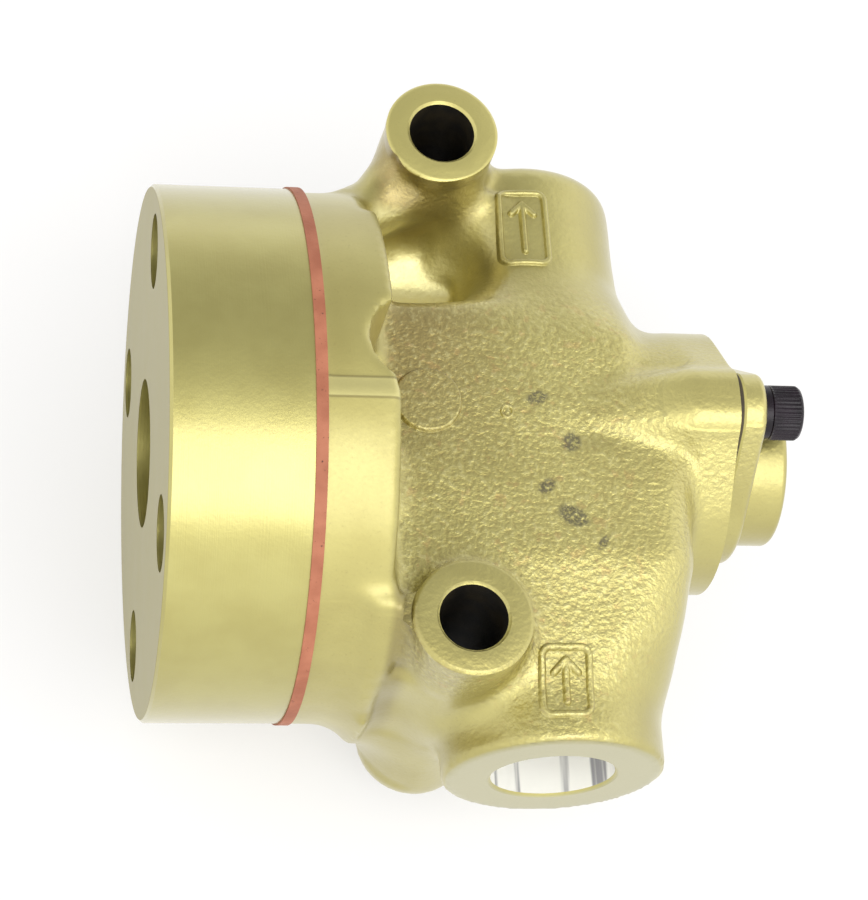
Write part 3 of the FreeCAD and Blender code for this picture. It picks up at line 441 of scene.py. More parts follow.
soft_skin("black_steel", paint(30, 20, 29), paint(18, 12, 18), 0.16, 1.36)
soft_skin("seal_rubber", paint(30, 30, 30), paint(22, 22, 22), 0.55)
soft_skin("seal_plastic", paint(232, 230, 220), paint(214, 211, 200), 0.35)
# near-black painted shade stands in for the walls of the bores
soft_skin("dark_bore", paint(40, 34, 20), paint(18, 16, 12), 0.45)

# The inlet's machined socket is near white with long grey streaks, a painted reflection, so its noise reads the
# turn round the socket.
PORT_X = 73.4
machined = Finish("machined_bore", Metallic=0.25, IOR=1.5)
turn_round_port = machined.node("ShaderNodeMath", {"operation": "ARCTAN2"},
                                {0: machined.x - PORT_X, 1: machined.z})
reflection_streaks = machined.noise(0.32, 3.0,
                         place=machined.vector(turn_round_port, machined.y * 0.004, 0.0))
tool_rings = machined.noise(0.3, 1.0, place=machined.vector(machined.y, 0.0, 0.0))
machined.feed(
    Base_Color=machined.mix(machined.between(reflection_streaks, 0.52, 0.64), paint(248, 247, 240),
                            paint(150, 149, 152)),
    Roughness=tool_rings * 0.1 + 0.3,
    Normal=machined.bump(tool_rings, 0.02),
)
print("finishes ready:", ", ".join(finishes))

# %% [markdown]
# ## Handing the finishes to the frame
# Each node of the frame names the slot that its finish comes from, and the finishes above were
# registered under the same names, so a loop can join them. Only the material changes here, never
# a mesh.

# %% Dress the nodes
slot_of = {}
for row in frame["record"]["materials"]:
    for name in row.get("nodes", []):
        slot_of[name] = row["slot"]
for name, node in nodes.items():
    slot = slot_of.get(name, node.material_slots[0].name.split(".")[0])
    for place in node.material_slots:
        place.material = finishes[slot].material
    slot_of[name] = slot
print("dressed:", ", ".join(sorted(set(slot_of.values()))))

# %% [markdown]
# ## Pieces from arrays
# New pieces are arrays of points first. One helper turns points and faces into a mesh that sits at
# the origin, as the frame's own nodes do, and tells the frame which body it rides on.

# %% From arrays to a piece


def make_piece(name, points, faces, slot, sharp=40.0):
    """Points in millimetres and faces as index rows become a smooth shaded piece on the body."""
    mesh = new_mesh(name, points, faces)
    mesh.validate()
    mesh.update()
    piece = put_in_scene(name, mesh)
    mesh.materials.append(finishes[slot].material)
    mesh.shade_smooth()
    mesh.set_sharp_from_angle(angle=math.radians(sharp))
    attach(piece, "body")
    return piece


def revolve(profile, centre, axis, turns=96):
    """Rows of (distance along the axis, radius or one radius for each step round) as a skin.

    Each row becomes a ring: along the axis at its distance, and across it at radius times the
    cosine and the sine of equal steps of angle. Quads join the rings, a flat fan closes each end.
    """
    angle = np.arange(turns) * 2 * math.pi / turns
    along = np.repeat([row[0] for row in profile], turns)
    around = np.tile(angle, len(profile))
    radius = np.concatenate([np.broadcast_to(row[1], turns) for row in profile])
    across, up = (axis + 1) % 3, (axis + 2) % 3
    points = np.zeros((len(along), 3))
    points[:, axis] = along
    points[:, across] = radius * np.cos(around)
    points[:, up] = radius * np.sin(around)
    rows = np.arange(len(profile) - 1)[:, None] * turns
    here = np.arange(turns)
    after = (here + 1) % turns
    quads = np.stack(np.broadcast_arrays(rows + here, rows + after, rows + turns + after,
                                         rows + turns + here), -1).reshape(-1, 4)
    faces = quads.tolist() + [list(range(turns))[::-1],
                              list(range(len(points) - turns, len(points)))]
    return points + np.asarray(centre, float), faces


print("piece helpers ready")

# %% [markdown]
# ## The casting
# In the frame the casting is a union of crisp solids. A real one comes out of a sand mould: every
# inner corner is filled by a fillet several millimetres wide, outer edges are softly worn, and the
# surface is never quite flat. The way that fits is a distance field. The outline is pushed out by
# the fillet radius and pulled back by as much, which leaves outer edges where they were and rolls
# a ball along every inner corner. The bores are plugged first and cut again afterwards with the
# frame's own walls, so that they stay exact.

# %% Sizes of the casting
# All in millimetres, as the frame's own construction has them.
FRONT, END = 27.3, 106.5              # flat faces on the axis: for the cover and for the cap
FLANGE_BACK, FLANGE_RADIUS = 40.2, 50.0
FLAT_Z = 25.2                         # the flat front of the hub
INLET_FACE, OUTLET_FACE = -63.0, 55.2
BOSS_X, BOSS_BORE = 54.5, 7.1
OUTLET_BOSS_Y, INLET_BOSS_Y = 54.2, -43.3
BOSS_TOP, BOSS_FOOT = 29.6, -38.5
COVER_SCREW_CIRCLE, THREAD_HOLE = 39.25, 4.05
CAP_SCREW_Z, CAP_SCREW_HOLE = 24.0, 3.6

VOXEL = 0.8                           # one step of the distance block
FILLET = 2.0                          # radius of the ball that rolls along inner corners
PARTING_STEP = 0.6                    # how far the mould's halves missed each other
WOBBLE = 0.05                         # height of one of the skin's long waves
SOFT_ZONES = [
    # reach of the blur, then the box in x, y and z where it is full, and the feather round it
    (1.0, (43.5, 98.0), (-60.0, 54.0), (-36.0, 26.0), 1.0),   # all that lies past the flange
    (2.7, (60.0, 84.0), (8.0, 32.0), (14.0, 30.0), 5.0),      # the flat runs out to the outlet
    (1.8, (43.0, 66.0), (18.0, 25.0), (18.0, 30.0), 3.0),     # the brow over the hollow
    (1.8, (40.5, 47.0), (34.0, 60.0), (8.0, 25.5), 2.0),      # flange and outlet boss
    (2.7, (41.0, 50.0), (-57.0, -40.0), (-20.0, 14.0), 2.5),  # flange and inlet boss
    (2.7, (56.0, 68.0), (24.0, 46.0), (8.0, 24.0), 3.0),      # the hollow's far wall
    (1.8, (38.0, 45.0), (34.5, 48.0), (20.0, 42.0), 2.5),     # the flange's rim at the saddle
    (2.7, (43.0, 51.0), (-60.0, -46.0), (-32.0, -12.0), 3.0),  # the web under the inlet boss
]
CRISP_ZONES = [
    # the same without a blur, for what has to stay sharp
    ((36.0, 56.0), (-7.0, 10.0), (22.0, 60.0), 1.5),          # round the raised round
    ((76.0, 120.0), (-9.5, 9.5), (18.0, 40.0), 1.5),          # the ear of the front cap screw
]


def merged(node):
    """The points in millimetres and the triangles of a node, with doubles merged."""
    work = bmesh.new()
    work.from_mesh(node.data)
    bmesh.ops.remove_doubles(work, verts=work.verts, dist=1e-6)
    bmesh.ops.triangulate(work, faces=work.faces)
    work.verts.index_update()
    points = np.array([v.co for v in work.verts]) / MM
    triangles = np.array([[v.index for v in f.verts] for f in work.faces], np.int32)
    work.free()
    return points, triangles


body_points, body_triangles = merged(nodes["valve_body"])
print("casting in the frame:", len(body_points), "points,", len(body_triangles), "triangles")

# %% Plugs for the bores
Plug = namedtuple("Plug", "centre axis radius start end open_start open_end lean",
                  defaults=(False, False, 0.0))
inlet_socket = Plug((PORT_X, 0.0, 0.0), 1, 12.0, INLET_FACE, -37.0, open_start=True)
PLUGS = [
    # axis 0 is X, and lean is how far a slanted one moves along X for each millimetre of Y
    Plug((0.0, 0.0, 0.0), 0, 20.6, FRONT, 60.0, open_start=True),
    Plug((0.0, 0.0, 0.0), 0, 17.6, 59.0, END, open_end=True),
    inlet_socket,
    Plug((91.7, 0.0, 0.0), 1, 8.4, -44.0, -8.0, lean=0.441),
    Plug((PORT_X, 0.0, 0.0), 1, 8.1, 29.0, OUTLET_FACE, open_end=True),
    Plug((57.1, 0.0, 0.0), 1, 8.4, 8.0, 36.0, lean=0.484),
]
for y in (OUTLET_BOSS_Y, INLET_BOSS_Y):
    PLUGS.append(Plug((BOSS_X, y, 0.0), 2, BOSS_BORE, BOSS_FOOT, BOSS_TOP, True, True))
for z in (CAP_SCREW_Z, -CAP_SCREW_Z):
    PLUGS.append(Plug((0.0, 0.0, z), 0, CAP_SCREW_HOLE, 92.0, END, open_end=True))
# The plug of a thread is wider than its hole, so the skin closes over the hole's mouth too.
thread_plugs = []
for quarter in range(4):
    turn = math.radians(45 + 90 * quarter)
    spot = (0.0, COVER_SCREW_CIRCLE * math.cos(turn), COVER_SCREW_CIRCLE * math.sin(turn))
    thread_plugs.append(Plug(spot, 0, 4.6, FRONT, 40.6, open_start=True))
PLUGS += thread_plugs


def plug_skin(plug, beyond):
    """A closed cylinder for one bore, standing out of its open ends by that much."""
    start = plug.start - beyond * plug.open_start
    end = plug.end + beyond * plug.open_end
    points, faces = revolve([(start, plug.radius), (end, plug.radius)], plug.centre, plug.axis, 64)
    points[:, 0] += plug.lean * points[:, 1]
    return points, faces


def as_triangles(points, faces, offset):
    """Quads and fans as triangles whose numbers start at offset."""
    out = []
    for face in faces:
        out += [(face[0], face[i], face[i + 1]) for i in range(1, len(face) - 1)]
    return np.asarray(points), np.asarray(out, np.int32) + offset


points, triangles = [body_points], [body_triangles]
for plug in PLUGS:
    more_points, more_triangles = as_triangles(*plug_skin(plug, 0.0), sum(map(len, points)))
    points.append(more_points)
    triangles.append(more_triangles)
points, triangles = np.concatenate(points), np.concatenate(triangles)
print("bores plugged:", len(PLUGS))

# %% Roll a ball along the inner corners
GRID_STEP = openvdb.createLinearTransform(voxelSize=VOXEL)
BAND = 9                              # steps on both sides of the skin that know its distance
MARGIN = 6                            # steps of room round the casting's box


def distance_field(points, faces):
    """A grid that holds, near the surface, the distance from it, negative inside."""
    kind = "triangles" if faces.shape[1] == 3 else "quads"
    return openvdb.FloatGrid.createLevelSetFromPolygons(
        points.astype(np.float32), transform=GRID_STEP, halfWidth=BAND, **{kind: faces})


def rolled(field, radius):
    """The field after its surface went out by a radius and came back by as much."""
    outside = distance_field(*field.convertToQuads(isovalue=radius))
    return distance_field(*outside.convertToQuads(isovalue=-radius))


low_corner = np.floor(body_points.min(0) / VOXEL).astype(int) - MARGIN
high_corner = np.ceil(body_points.max(0) / VOXEL).astype(int) + MARGIN


def as_array(field):
    """The distances as a dense numpy block over the casting's box."""
    block = np.zeros(high_corner - low_corner + 1, np.float32)
    field.copyToArray(block, ijk=tuple(low_corner.tolist()))
    return block


filleted = as_array(rolled(distance_field(points, triangles), FILLET))
print("distance block:", filleted.shape)

# %% [markdown]
# ### Shapes as distances
# Every spot of the block knows where it is, so another shape is one more block of distances that
# are negative inside. The smaller of two distances is the union of two shapes, the larger one is
# what they share, and a minus sign turns a shape inside out. A zone says where a change is made,
# with soft borders, and a blur wears down whatever lies in it.

# %% Tools for the distance block
steps = [np.arange(n) * VOXEL + c * VOXEL for n, c in zip(filleted.shape, low_corner)]
X, Y, Z = np.meshgrid(*steps, indexing="ij", sparse=True)


def rise(value, low, high):
    """0 below low, 1 above high, and a smooth rise from one to the other."""
    share = np.clip((value - low) / (high - low), 0.0, 1.0)
    return share * share * (3 - 2 * share)


def zone(x, y, z, feather):
    """1 inside a box of three (low, high) ranges, fading to 0 over the feather outside it."""
    share = 1.0
    for value, (low, high) in ((X, x), (Y, y), (Z, z)):
        share = share * rise(value, low - feather, low) * (1 - rise(value, high, high + feather))
    return share


def blurred(block, reach):
    """The block after three box averages of that reach in millimetres along each axis."""
    width = max(1, int(round(reach / VOXEL)))
    for axis in range(3):
        for _ in range(3):
            total = np.cumsum(np.pad(block, [(width + 1, width) if i == axis else (0, 0)
                                             for i in range(3)], mode="edge"), axis, float)
            count = block.shape[axis]
            high = np.take(total, np.arange(count) + 2 * width + 1, axis)
            low = np.take(total, np.arange(count), axis)
            block = ((high - low) / (2 * width + 1)).astype(np.float32)
    return block


def blend(block, other, share):
    """The first block where share is 0, the other where it is 1."""
    return block * (1 - share) + other * share


def length(*parts):
    """The length of a vector from its parts: the root of the sum of their squares."""
    return np.sqrt(sum(part ** 2 for part in parts))


def brick(x, y, z):
    """Negative inside a box of three (low, high) ranges, in the way of a distance."""
    sides = [np.maximum(low - value, value - high)
             for value, (low, high) in ((X, x), (Y, y), (Z, z))]
    return np.maximum(np.maximum(sides[0], sides[1]), sides[2])


def joined(first, second, reach):
    """The union of two shapes with a soft fillet of that reach where they meet."""
    near = np.maximum(reach - np.abs(first - second), 0.0) / reach
    return np.minimum(first, second) - near * near * reach / 4


print("block tools ready, from", [round(step[0], 1) for step in steps])

# %% [markdown]
# ### Between the flange and the columns
# Four places need more than a rolled ball. The hollow beside the outlet boss gets a bowl for a
# floor that rises softly to the columns. A wide cove runs along the flange's foot on the flat. At
# the inlet boss the web's top slopes away, and a fillet fills the valley between the boss and the
# flange. A short round saddle carries the flange over to the outlet boss.

# %% The hollow with a bowl for a floor
hollow_foot = np.minimum(brick((39.0, 68.0), (19.0, 46.0), (-13.0, 21.0)),
                         brick((39.0, 56.0), (19.0, 24.0), (-13.0, 24.0)))
BOWL_RADIUS, BOWL_STRETCH = 14.0, 1.3
bowl = length(np.maximum(X - 53.0, 0.0) / BOWL_STRETCH, Y - 31.5, Z - 18.5) - BOWL_RADIUS
filled = np.maximum(hollow_foot, -bowl)
skin_field = blend(np.minimum(filleted, filled), joined(filleted, filled, 7.0),
                   zone((42.5, 60.0), (36.0, 54.0), (-12.0, 20.0), 2.0))
print("hollow filled to a bowl of radius", BOWL_RADIUS, "mm")

# %% Cove, valley and saddle
COVE_REACH, VALLEY_REACH, SADDLE_REACH = 8.0, 7.0, 5.0
flange_side = np.maximum(length(Y, Z) - FLANGE_RADIUS, X - FLANGE_BACK)
cove = joined(flange_side, Z - FLAT_Z, COVE_REACH)
skin_field = blend(skin_field, np.minimum(skin_field, cove),
                   zone((38.0, 50.0), (-21.5, -10.0), (20.0, 36.0), 2.0))

# The web's new top is a plane through y -54.5, z -24 that faces outwards and a little up.
boss_side = np.maximum(length(X - BOSS_X, Y - INLET_BOSS_Y) - 11.0, Z - 21.0)
web_top = -0.943 * (Y + 54.5) + 0.330 * (Z + 24.0)
sloped_web = np.minimum(np.maximum(skin_field, web_top), np.minimum(flange_side, boss_side))
skin_field = blend(skin_field, sloped_web, zone((41.0, 50.0), (-60.0, -42.0), (-30.0, 8.0), 1.0))
valley = joined(flange_side, boss_side, VALLEY_REACH)
skin_field = blend(skin_field, np.minimum(skin_field, valley),
                   zone((38.0, 54.0), (-56.0, -30.0), (-34.0, 13.0), 6.0))

# The saddle is a rod of that radius with round ends, which starts at (42, 43.5, 19).
RUN_X, RUN_Y, SADDLE_RADIUS = 8.0, 6.0, 6.2
along = ((X - 42.0) * RUN_X + (Y - 43.5) * RUN_Y) / (RUN_X ** 2 + RUN_Y ** 2)
along = np.clip(along, 0.0, 1.0)
saddle = length(X - 42.0 - RUN_X * along, Y - 43.5 - RUN_Y * along, Z - 19.0) - SADDLE_RADIUS
skin_field = blend(skin_field, joined(skin_field, saddle, SADDLE_REACH),
                   zone((41.2, 60.0), (30.0, 60.0), (-10.0, 24.0), 1.5))
print("fillets reach", COVE_REACH, VALLEY_REACH, "and", SADDLE_REACH, "mm")

# %% [markdown]
# ### Worn edges, long waves and a parting line
# The soft zones are blurred one after the other, and the crisp ones take the rolled block back. A
# sand mould is never quite true, so a few long waves in random directions move the skin a little.
# The mould's two halves did not meet exactly either: above the parting line the flange lies lower.

# %% Wear the edges and let the skin wander
for reach, x, y, z, feather in SOFT_ZONES:
    skin_field = blend(skin_field, blurred(skin_field, reach), zone(x, y, z, feather))
for x, y, z, feather in CRISP_ZONES:
    skin_field = blend(skin_field, filleted, zone(x, y, z, feather))

# The raised round beside the flange comes later as a fine relief, so the flat goes through here.
round_place = zone((44.0, 57.0), (-7.2, 8.2), (24.6, 29.0), 0.6)
skin_field = blend(skin_field, np.maximum(skin_field, Z - FLAT_Z), round_place)

WAVES, SHORTEST, LONGEST = 8, 11.0, 26.0
chance = np.random.default_rng(11)
waves = 0.0
for _ in range(WAVES):
    heading = chance.normal(size=3)
    heading *= 2 * math.pi / (chance.uniform(SHORTEST, LONGEST) * np.linalg.norm(heading))
    waves = waves + np.sin(heading[0] * X + heading[1] * Y + heading[2] * Z
                           + chance.uniform(0.0, 2 * math.pi))
skin_field = skin_field + WOBBLE * waves * zone((44.0, 97.0), (-60.0, 53.0), (-36.0, 28.6), 2.0)
print("worn in", len(SOFT_ZONES), "zones, kept crisp in", len(CRISP_ZONES))

# %% [markdown]
# ### Faces that a tool cut
# A distance block rounds every edge, also the ones that a lathe or a mill leaves sharp. So the
# casting is made too long at its four cut faces: the block's layer a little behind the face is
# copied outwards. Flat cutters take the rest off later and leave a sharp edge.

# %% Make the cut faces longer
SPARE = 1.4                           # how far the skin stands out over a face that is cut
BEHIND = 1.3                          # where the copied layer lies, behind the face
first = int(np.ceil((FRONT + BEHIND - steps[0][0]) / VOXEL))
last = int((END - BEHIND - steps[0][0]) / VOXEL)
skin_field[:first] = skin_field[first]
skin_field[last + 1:] = skin_field[last]
skin_field = np.maximum(skin_field, np.maximum(FRONT - SPARE - X, X - END - SPARE))
top = int((BOSS_TOP - BEHIND - steps[2][0]) / VOXEL)
for side in (OUTLET_BOSS_Y, INLET_BOSS_Y):
    on_boss = ((X - BOSS_X) ** 2 + (Y - side) ** 2 < 12.2 ** 2)[:, :, 0]
    skin_field[on_boss, top + 1:] = skin_field[on_boss, top:top + 1]
skin_field = blend(skin_field, np.maximum(skin_field, Z - BOSS_TOP - SPARE),
                   zone((41.6, 70.0), (-70.0, 70.0), (29.0, 60.0), 0.1))
parting = zone((28.2, 38.8), (-6.8, 60.0), (10.0, 60.0), 2.8)
skin_field = skin_field + PARTING_STEP * parting

worn = openvdb.FloatGrid()
worn.transform = GRID_STEP
worn.gridClass = openvdb.GridClass.LEVEL_SET
worn.background = float(filleted.max())
worn.copyFromArray(skin_field.astype(np.float32), ijk=tuple(low_corner.tolist()))
skin, quads = worn.convertToQuads(isovalue=0.0)
quads = quads[:, ::-1]
print("cast skin:", len(skin), "points, x", skin[:, 0].min().round(2), "to",
      skin[:, 0].max().round(2))

# %% [markdown]
# ### Back to a mesh
# The distance block is read back as quads along its zero. They carry faint steps of the block, so
# every point moves towards the mean of its neighbours and then back out, five times. After that
# the two milled planes get their exact places again.

# %% Smooth away the grid's own steps
SMOOTH_ROUNDS = 5
SMOOTH_SHARES = (0.55, -0.57)         # towards the neighbours and back out, so nothing shrinks


def neighbour_mean(points, quads):
    """The mean of each point's neighbours along the sides of its quads."""
    total = np.zeros_like(points)
    number = np.zeros(len(points))
    for side in range(4):
        first, second = quads[:, side], quads[:, (side + 1) % 4]
        for start, end in ((first, second), (second, first)):
            for axis in range(3):
                total[:, axis] += np.bincount(start, points[end, axis], len(points))
            number += np.bincount(start, minlength=len(points))
    return total / number[:, None]


for _ in range(SMOOTH_ROUNDS):
    for share in SMOOTH_SHARES:
        skin = skin + share * (neighbour_mean(skin, quads) - skin)
print("smoothed:", len(skin), "points")

# %% Bring the machined planes back
for axis, level in [(1, INLET_FACE), (2, BOSS_FOOT)]:
    near = np.abs(skin[:, axis] - level) < 0.15
    skin[near, axis] = level
    print("plane", "XYZ"[axis], level, "holds", int(near.sum()), "points")
skin[:, 1:] = np.clip(skin[:, 1:], body_points.min(0)[1:], body_points.max(0)[1:])

# %% [markdown]
# ### Bores, and the faces that were made too long
# A plug less the frame's own solid is the bore itself, with its steps and chamfers, and that is
# its cutter. The threads are the exception: plain cylinders drill them. Flat slabs take off what
# stands out at the four cut faces. Faces that lie inside a plug after that are walls, and get a
# bore's finish.

# %% Cut the bores with the frame's own walls


def less(piece, cutters):
    """Take the cutters away from a piece and leave the result in its mesh."""
    for cutter in cutters:
        step = piece.modifiers.new("cut", "BOOLEAN")
        step.operation = "DIFFERENCE"
        step.solver = "MANIFOLD"
        step.object = cutter
    graph = bpy.context.evaluated_depsgraph_get()
    result = bpy.data.meshes.new_from_object(piece.evaluated_get(graph))
    piece.modifiers.clear()
    piece.data = result
    return piece


def scratch(name, points, faces):
    """A piece that is only used to make another one."""
    return put_in_scene(name, new_mesh(name, points, faces))


BEYOND = 3.0                          # how far a cutter stands out of its bore's open ends
solid_body = scratch("solid_body", body_points, body_triangles)
hollows = []
for index, plug in enumerate(PLUGS):
    name = "hollow_%d" % index
    if plug in thread_plugs:
        drilled = plug._replace(radius=THREAD_HOLE, end=41.0)
        hollows.append(scratch(name, *plug_skin(drilled, BEYOND)))
    else:
        hollows.append(less(scratch(name, *plug_skin(plug, BEYOND)), [solid_body]))

# A boss's cutter is flat in the middle and wraps round the edge: rows of (height, radius).
boss_end = [(29.6, 10.0), (29.45, 10.45), (29.1, 10.8), (28.5, 11.05), (28.5, 12.6), (33.0, 12.6)]
on_axis = (0.0, 0.0, 0.0)
slabs = [
    scratch("front_slab", *revolve([(24.0, 70.0), (FRONT, 70.0)], on_axis, 0, 32)),
    scratch("end_slab", *revolve([(END, 60.0), (110.0, 60.0)], on_axis, 0, 32)),
    scratch("outlet_slab", *revolve(boss_end, (BOSS_X, OUTLET_BOSS_Y, 0.0), 2)),
    scratch("inlet_slab", *revolve(boss_end, (BOSS_X, INLET_BOSS_Y, 0.0), 2)),
]
cast_blank = scratch("cast_blank", skin, quads)
cutters = hollows + slabs
casting_mesh = less(cast_blank, cutters).data
print("casting:", len(casting_mesh.polygons), "faces after", len(cutters), "cuts")

# %% Tell the bore walls from the cast skin
SLACK = 0.05                          # a wall's faces lie at least this much inside its plug
MOUTH = 0.8                           # depth at an open end where a chamfer keeps the paint
SKIN, BRIGHT_BORE, DARK_BORE = 0, 1, 2
count = len(casting_mesh.polygons)


def per_face(attribute):
    """One vector for each face of the casting, as rows."""
    values = np.empty(count * 3)
    casting_mesh.polygons.foreach_get(attribute, values)
    return values.reshape(-1, 3)


centres, facing = per_face("center") / MM, per_face("normal")
wall_kind = np.full(count, SKIN, np.int32)
for plug in PLUGS:
    across = [i for i in range(3) if i != plug.axis]
    offset = centres - np.array(plug.centre)
    offset[:, 0] -= plug.lean * centres[:, 1]
    along = centres[:, plug.axis]
    inside = np.hypot(*offset[:, across].T) < plug.radius - SLACK
    inside &= along > plug.start + SLACK * plug.open_start
    inside &= along < plug.end - SLACK * plug.open_end
    mouth = plug.open_start & (along < plug.start + MOUTH)
    mouth |= plug.open_end & (along > plug.end - MOUTH)
    chamfer = mouth & (np.abs(facing[:, plug.axis]) > 0.4)
    # the inlet socket's walls get the machined finish with its painted reflection, the other walls the near-black
    # painted shade
    wall_kind[inside & ~chamfer] = BRIGHT_BORE if plug is inlet_socket else DARK_BORE
print("faces of skin, bright bore and dark bores:", np.bincount(wall_kind))

# %% Finish the casting
casting_mesh.materials.clear()
for name in ("cast_paint", "machined_bore", "dark_bore"):
    casting_mesh.materials.append(finishes[name].material)
casting_mesh.polygons.foreach_set("material_index", wall_kind)
casting = put_in_scene("casting", casting_mesh)
casting_mesh.shade_smooth()
casting_mesh.set_sharp_from_angle(angle=math.radians(40.0))
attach(casting, "body")
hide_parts("valve_body")
print("triangles:", sum(len(p.vertices) - 2 for p in casting_mesh.polygons))
for made in [solid_body, cast_blank, *cutters]:
    bpy.data.objects.remove(made)

# %% [markdown]
# ## Marks in relief
# The mould left a few raised marks. Beside each port a rounded frame holds an arrow that shows
# which way the flow goes, and a small plain ring stands on the flat. Each mark is a fine grid
# that hangs just under the skin, found by looking straight down on the casting, and rises out of
# it where the drawing says so. The drawings are distances: how far a spot is from a line.

# %% Drawings as distances


def frame_line(u, v, half_u, half_v, corner):
    """How far a spot is from the line of a rounded rectangle."""
    over_u = np.abs(u) - half_u + corner
    over_v = np.abs(v) - half_v + corner
    outside = np.hypot(np.maximum(over_u, 0), np.maximum(over_v, 0))
    return np.abs(outside + np.minimum(np.maximum(over_u, over_v), 0) - corner)


def line(u, v, start, end):
    """How far a spot is from a straight line between two spots."""
    run_u, run_v = end[0] - start[0], end[1] - start[1]
    share = ((u - start[0]) * run_u + (v - start[1]) * run_v) / (run_u ** 2 + run_v ** 2)
    share = np.clip(share, 0.0, 1.0)
    return np.hypot(u - start[0] - share * run_u, v - start[1] - share * run_v)


def framed_arrow(half_u, half_v, reach):
    """A drawing of a frame with an arrow that points along v, from -reach to reach."""
    corner, stroke, barb_out, barb_back = 1.6, 0.5, 2.2, 2.3

    def drawing(u, v):
        tip, barb = (0.0, reach), reach - barb_back
        lines = [frame_line(u, v, half_u, half_v, corner), line(u, v, (0.0, -reach), tip),
                 line(u, v, tip, (-barb_out, barb)), line(u, v, tip, (barb_out, barb))]
        return np.minimum.reduce(lines) - stroke
    return drawing


def small_ring(u, v):
    """A drawing of a ring of 1.15 mm radius, a little narrow across u."""
    return np.abs(np.hypot(u * 1.15, v) - 1.15) - 0.25


def disc(u, v):
    """A drawing of a disc of 6.2 mm radius."""
    return np.hypot(u, v) - 6.2


print("drawings ready: framed arrow, small ring, disc")

# %% Drop the drawings onto the casting
SUNK = 0.15                           # how deep the grid hangs under the skin beside a mark
SLOPE = (-0.25, 0.4)                  # distances from its line over which a mark rises
ABOVE = 0.06                          # metres, a height over the whole casting


def relief(name, middle, half_u, half_v, drawing, height, step=0.22):
    """A raised mark on the front, from a drawing whose negative distances stand up.

    The grid's points lie on the casting, straight under a flat grid of that step. Each is then
    moved along Z: up by the height on the drawing, down by SUNK beside it, smoothly in between.
    """
    u = np.arange(-half_u, half_u + step / 2, step)
    v = np.arange(-half_v, half_v + step / 2, step)
    u, v = np.meshgrid(u, v, indexing="ij")
    up = (height + SUNK) * (1 - rise(drawing(u, v), *SLOPE)) - SUNK
    points = np.empty((u.size, 3))
    down = Vector((0.0, 0.0, -1.0))
    for row, (x, y) in enumerate(zip((u + middle[0]).ravel(), (v + middle[1]).ravel())):
        _, spot, _, _ = casting.ray_cast(Vector((x * MM, y * MM, ABOVE)), down)
        points[row] = np.array(spot) / MM
    points[:, 2] += up.ravel()
    rows, columns = u.shape
    corner = (np.arange(rows - 1)[:, None] * columns + np.arange(columns - 1)).ravel()
    faces = np.stack([corner, corner + columns, corner + columns + 1, corner + 1], -1)
    return make_piece(name, points, faces, "cast_paint", sharp=80.0)


bpy.context.view_layer.update()
marks = [
    relief("outlet_arrow", (71.2, 40.0), 5.5, 8.7, framed_arrow(4.5, 7.7, 5.2), 0.75),
    relief("inlet_arrow", (72.2, -52.0), 5.3, 7.0, framed_arrow(4.3, 6.0, 3.8), 0.75),
    relief("ring_mark", (64.0, -1.6), 2.2, 2.2, small_ring, 0.35, step=0.15),
    relief("raised_round", (49.4, 0.4), 7.2, 7.2, disc, 0.8),
]
print("marks in relief:", ", ".join(mark.name for mark in marks))

# %% [markdown]
# ## The cap screws
# The two screws of the end cap have knurled heads with a hexagon socket. The knurl is a small
# ripple of the radius as it goes round, and the socket is a radius that follows the flats: the
# distance to the flat divided by the cosine of the angle from its middle.

# %% Knurled socket screws
TEETH, ROUND_STEPS = 40, 240
SEAT, HEAD, SHANK = 113.5, 6.0, 18.0  # where the head sits on its washer, its height, the shank
HEAD_RADIUS, KNURL_DEPTH = 5.1, 0.22
SOCKET_HALF_WIDTH, SOCKET_DEPTH = 2.5, 3.0
TOP = SEAT + HEAD
around = np.arange(ROUND_STEPS) * 2 * math.pi / ROUND_STEPS
ripple = 0.5 - 0.5 * np.cos(TEETH * around)
from_flat = np.mod(around, math.pi / 3) - math.pi / 6
hexagon = SOCKET_HALF_WIDTH / np.cos(from_flat)


def knurl(share):
    """The head's radius round the screw, less that share of the knurl's ripple."""
    return HEAD_RADIUS - KNURL_DEPTH * share * ripple


screw_rows = [
    (SEAT - SHANK, 0.05), (SEAT - SHANK, 2.5), (SEAT - SHANK + 0.5, 3.0), (SEAT, 3.0),
    (SEAT, 4.8), (SEAT + 0.25, HEAD_RADIUS), (SEAT + 0.5, knurl(0.3)), (SEAT + 0.75, knurl(1.0)),
    (TOP - 0.95, knurl(1.0)), (TOP - 0.7, knurl(0.3)), (TOP - 0.6, 5.05), (TOP - 0.15, 4.75),
    (TOP, 4.45), (TOP, hexagon + 0.2), (TOP - 0.2, hexagon), (TOP - SOCKET_DEPTH, hexagon),
    (TOP - SOCKET_DEPTH, 2.3), (TOP - SOCKET_DEPTH - 0.8, 0.05),
]
for side, height in (("front", CAP_SCREW_Z), ("back", -CAP_SCREW_Z)):
    points, faces = revolve(screw_rows, (0.0, 0.0, height), 0, ROUND_STEPS)
    screw = make_piece("knurled_screw_" + side, points, faces, "black_steel", sharp=32.0)
    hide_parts("cap_screw_" + side)
print("cap screws:", len(points), "points each")

# %% [markdown]
# ## The return spring
# The spring stands between the disc and the cap. When the disc opens, the spring has to shorten by
# as much as the spindle travels, while its end in the cap stays where it is. Here the spring becomes
# a piece of its own with the same coils, and its length and the travel are worked out.

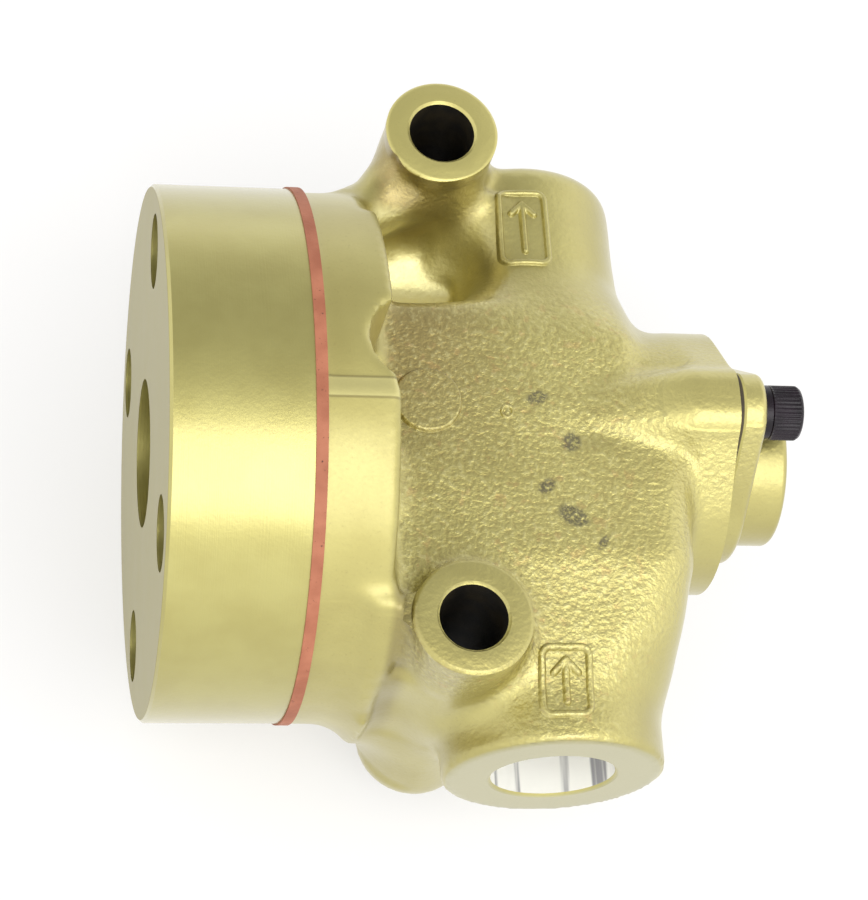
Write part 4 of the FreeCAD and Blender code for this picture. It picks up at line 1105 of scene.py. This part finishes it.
# %% The spring as a piece of its own
slide = next(joint for joint in frame["joints"] if joint["name"] == "main_slide")
travel = slide["range_m"][1]
spring_low, spring_high = np.array(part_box("return_spring"))
spring_length = float(spring_high[0] - spring_low[0])
coil_spring = make_piece("coil_spring", *merged(nodes["return_spring"]), "spring_steel")
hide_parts("return_spring")
1.0 - travel / spring_length
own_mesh(coil_spring)
print("spring:", round(spring_length / MM, 1), "mm long, shortens by", travel / MM, "mm")

# %% [markdown]
# ## Floor and light
# The valve lies on a white table under one large soft light beside the camera. The table and the
# walls near it throw light back from all round, while the ceiling stays darker. That is what gives
# the cover its bright band and the paint its pale rims. The sky is a ramp from the horizon up.

# %% Floor
FLOOR_Z, FLOOR_HALF = -50.6, 3000.0
corners = [(-1, -1), (1, -1), (1, 1), (-1, 1)]
floor_points = [(x * FLOOR_HALF, y * FLOOR_HALF, FLOOR_Z) for x, y in corners]
floor = put_in_scene("floor", new_mesh("floor", floor_points, [(0, 1, 2, 3)]))
white_table = Finish("white_table", Roughness=0.6, Emission_Color=(1.0, 1.0, 1.0, 1.0),
                     Emission_Strength=0.54)
white_table.feed(Base_Color=white_table.mix(white_table.noise(300.0), paint(168, 167, 166),
                                            paint(164, 163, 162)))
floor.data.materials.append(white_table.material)
print("floor at", FLOOR_Z, "mm")

# %% Lights
VALVE_MIDDLE = np.array([60.0, 0.0, 0.0]) * MM


def soft_light(name, direction, distance, size, power):
    """A square soft box in that direction from the valve, turned to face it."""
    lamp = bpy.data.lights.new(name, "AREA")
    lamp.size = size
    lamp.energy = power
    holder = put_in_scene(name, lamp)
    back = np.array(direction) / np.linalg.norm(direction)
    side = np.cross([0.0, 1.0, 0.0], back)
    side /= np.linalg.norm(side)
    pose = np.eye(4)
    pose[:3, 0], pose[:3, 1], pose[:3, 2] = side, np.cross(back, side), back
    pose[:3, 3] = VALVE_MIDDLE + back * distance
    holder.matrix_world = Matrix(pose.tolist())


soft_light("key", (0.18, -0.52, 0.83), distance=1.1, size=0.75, power=4.4)

CEILING = (0.0, 0.57, 0.82)           # the way to the room's dark side
BRIGHT, LOSS = 1.85, 1.08             # strength of the light walls, and how much less it is there
sky = bpy.data.worlds.new("room")
bpy.context.scene.world = sky
sky.use_nodes = True
room = Tree(sky.node_tree)
direction = room.node("ShaderNodeTexCoord", output="Generated")
towards_dark = room.node("ShaderNodeVectorMath", {"operation": "DOT_PRODUCT"},
                         {0: direction, 1: CEILING}, "Value")
glow = room.node("ShaderNodeBackground", None, {
    "Strength": BRIGHT - room.between(towards_dark, 0.55, 1.0) * LOSS})
end = room.tree.nodes.new("ShaderNodeOutputWorld")
room.tree.links.new(glow.socket, end.inputs["Surface"])
view = bpy.context.scene.view_settings
view.view_transform = "Standard"
view.look = "None"
view.exposure = 0.0
print("one soft light and a room")
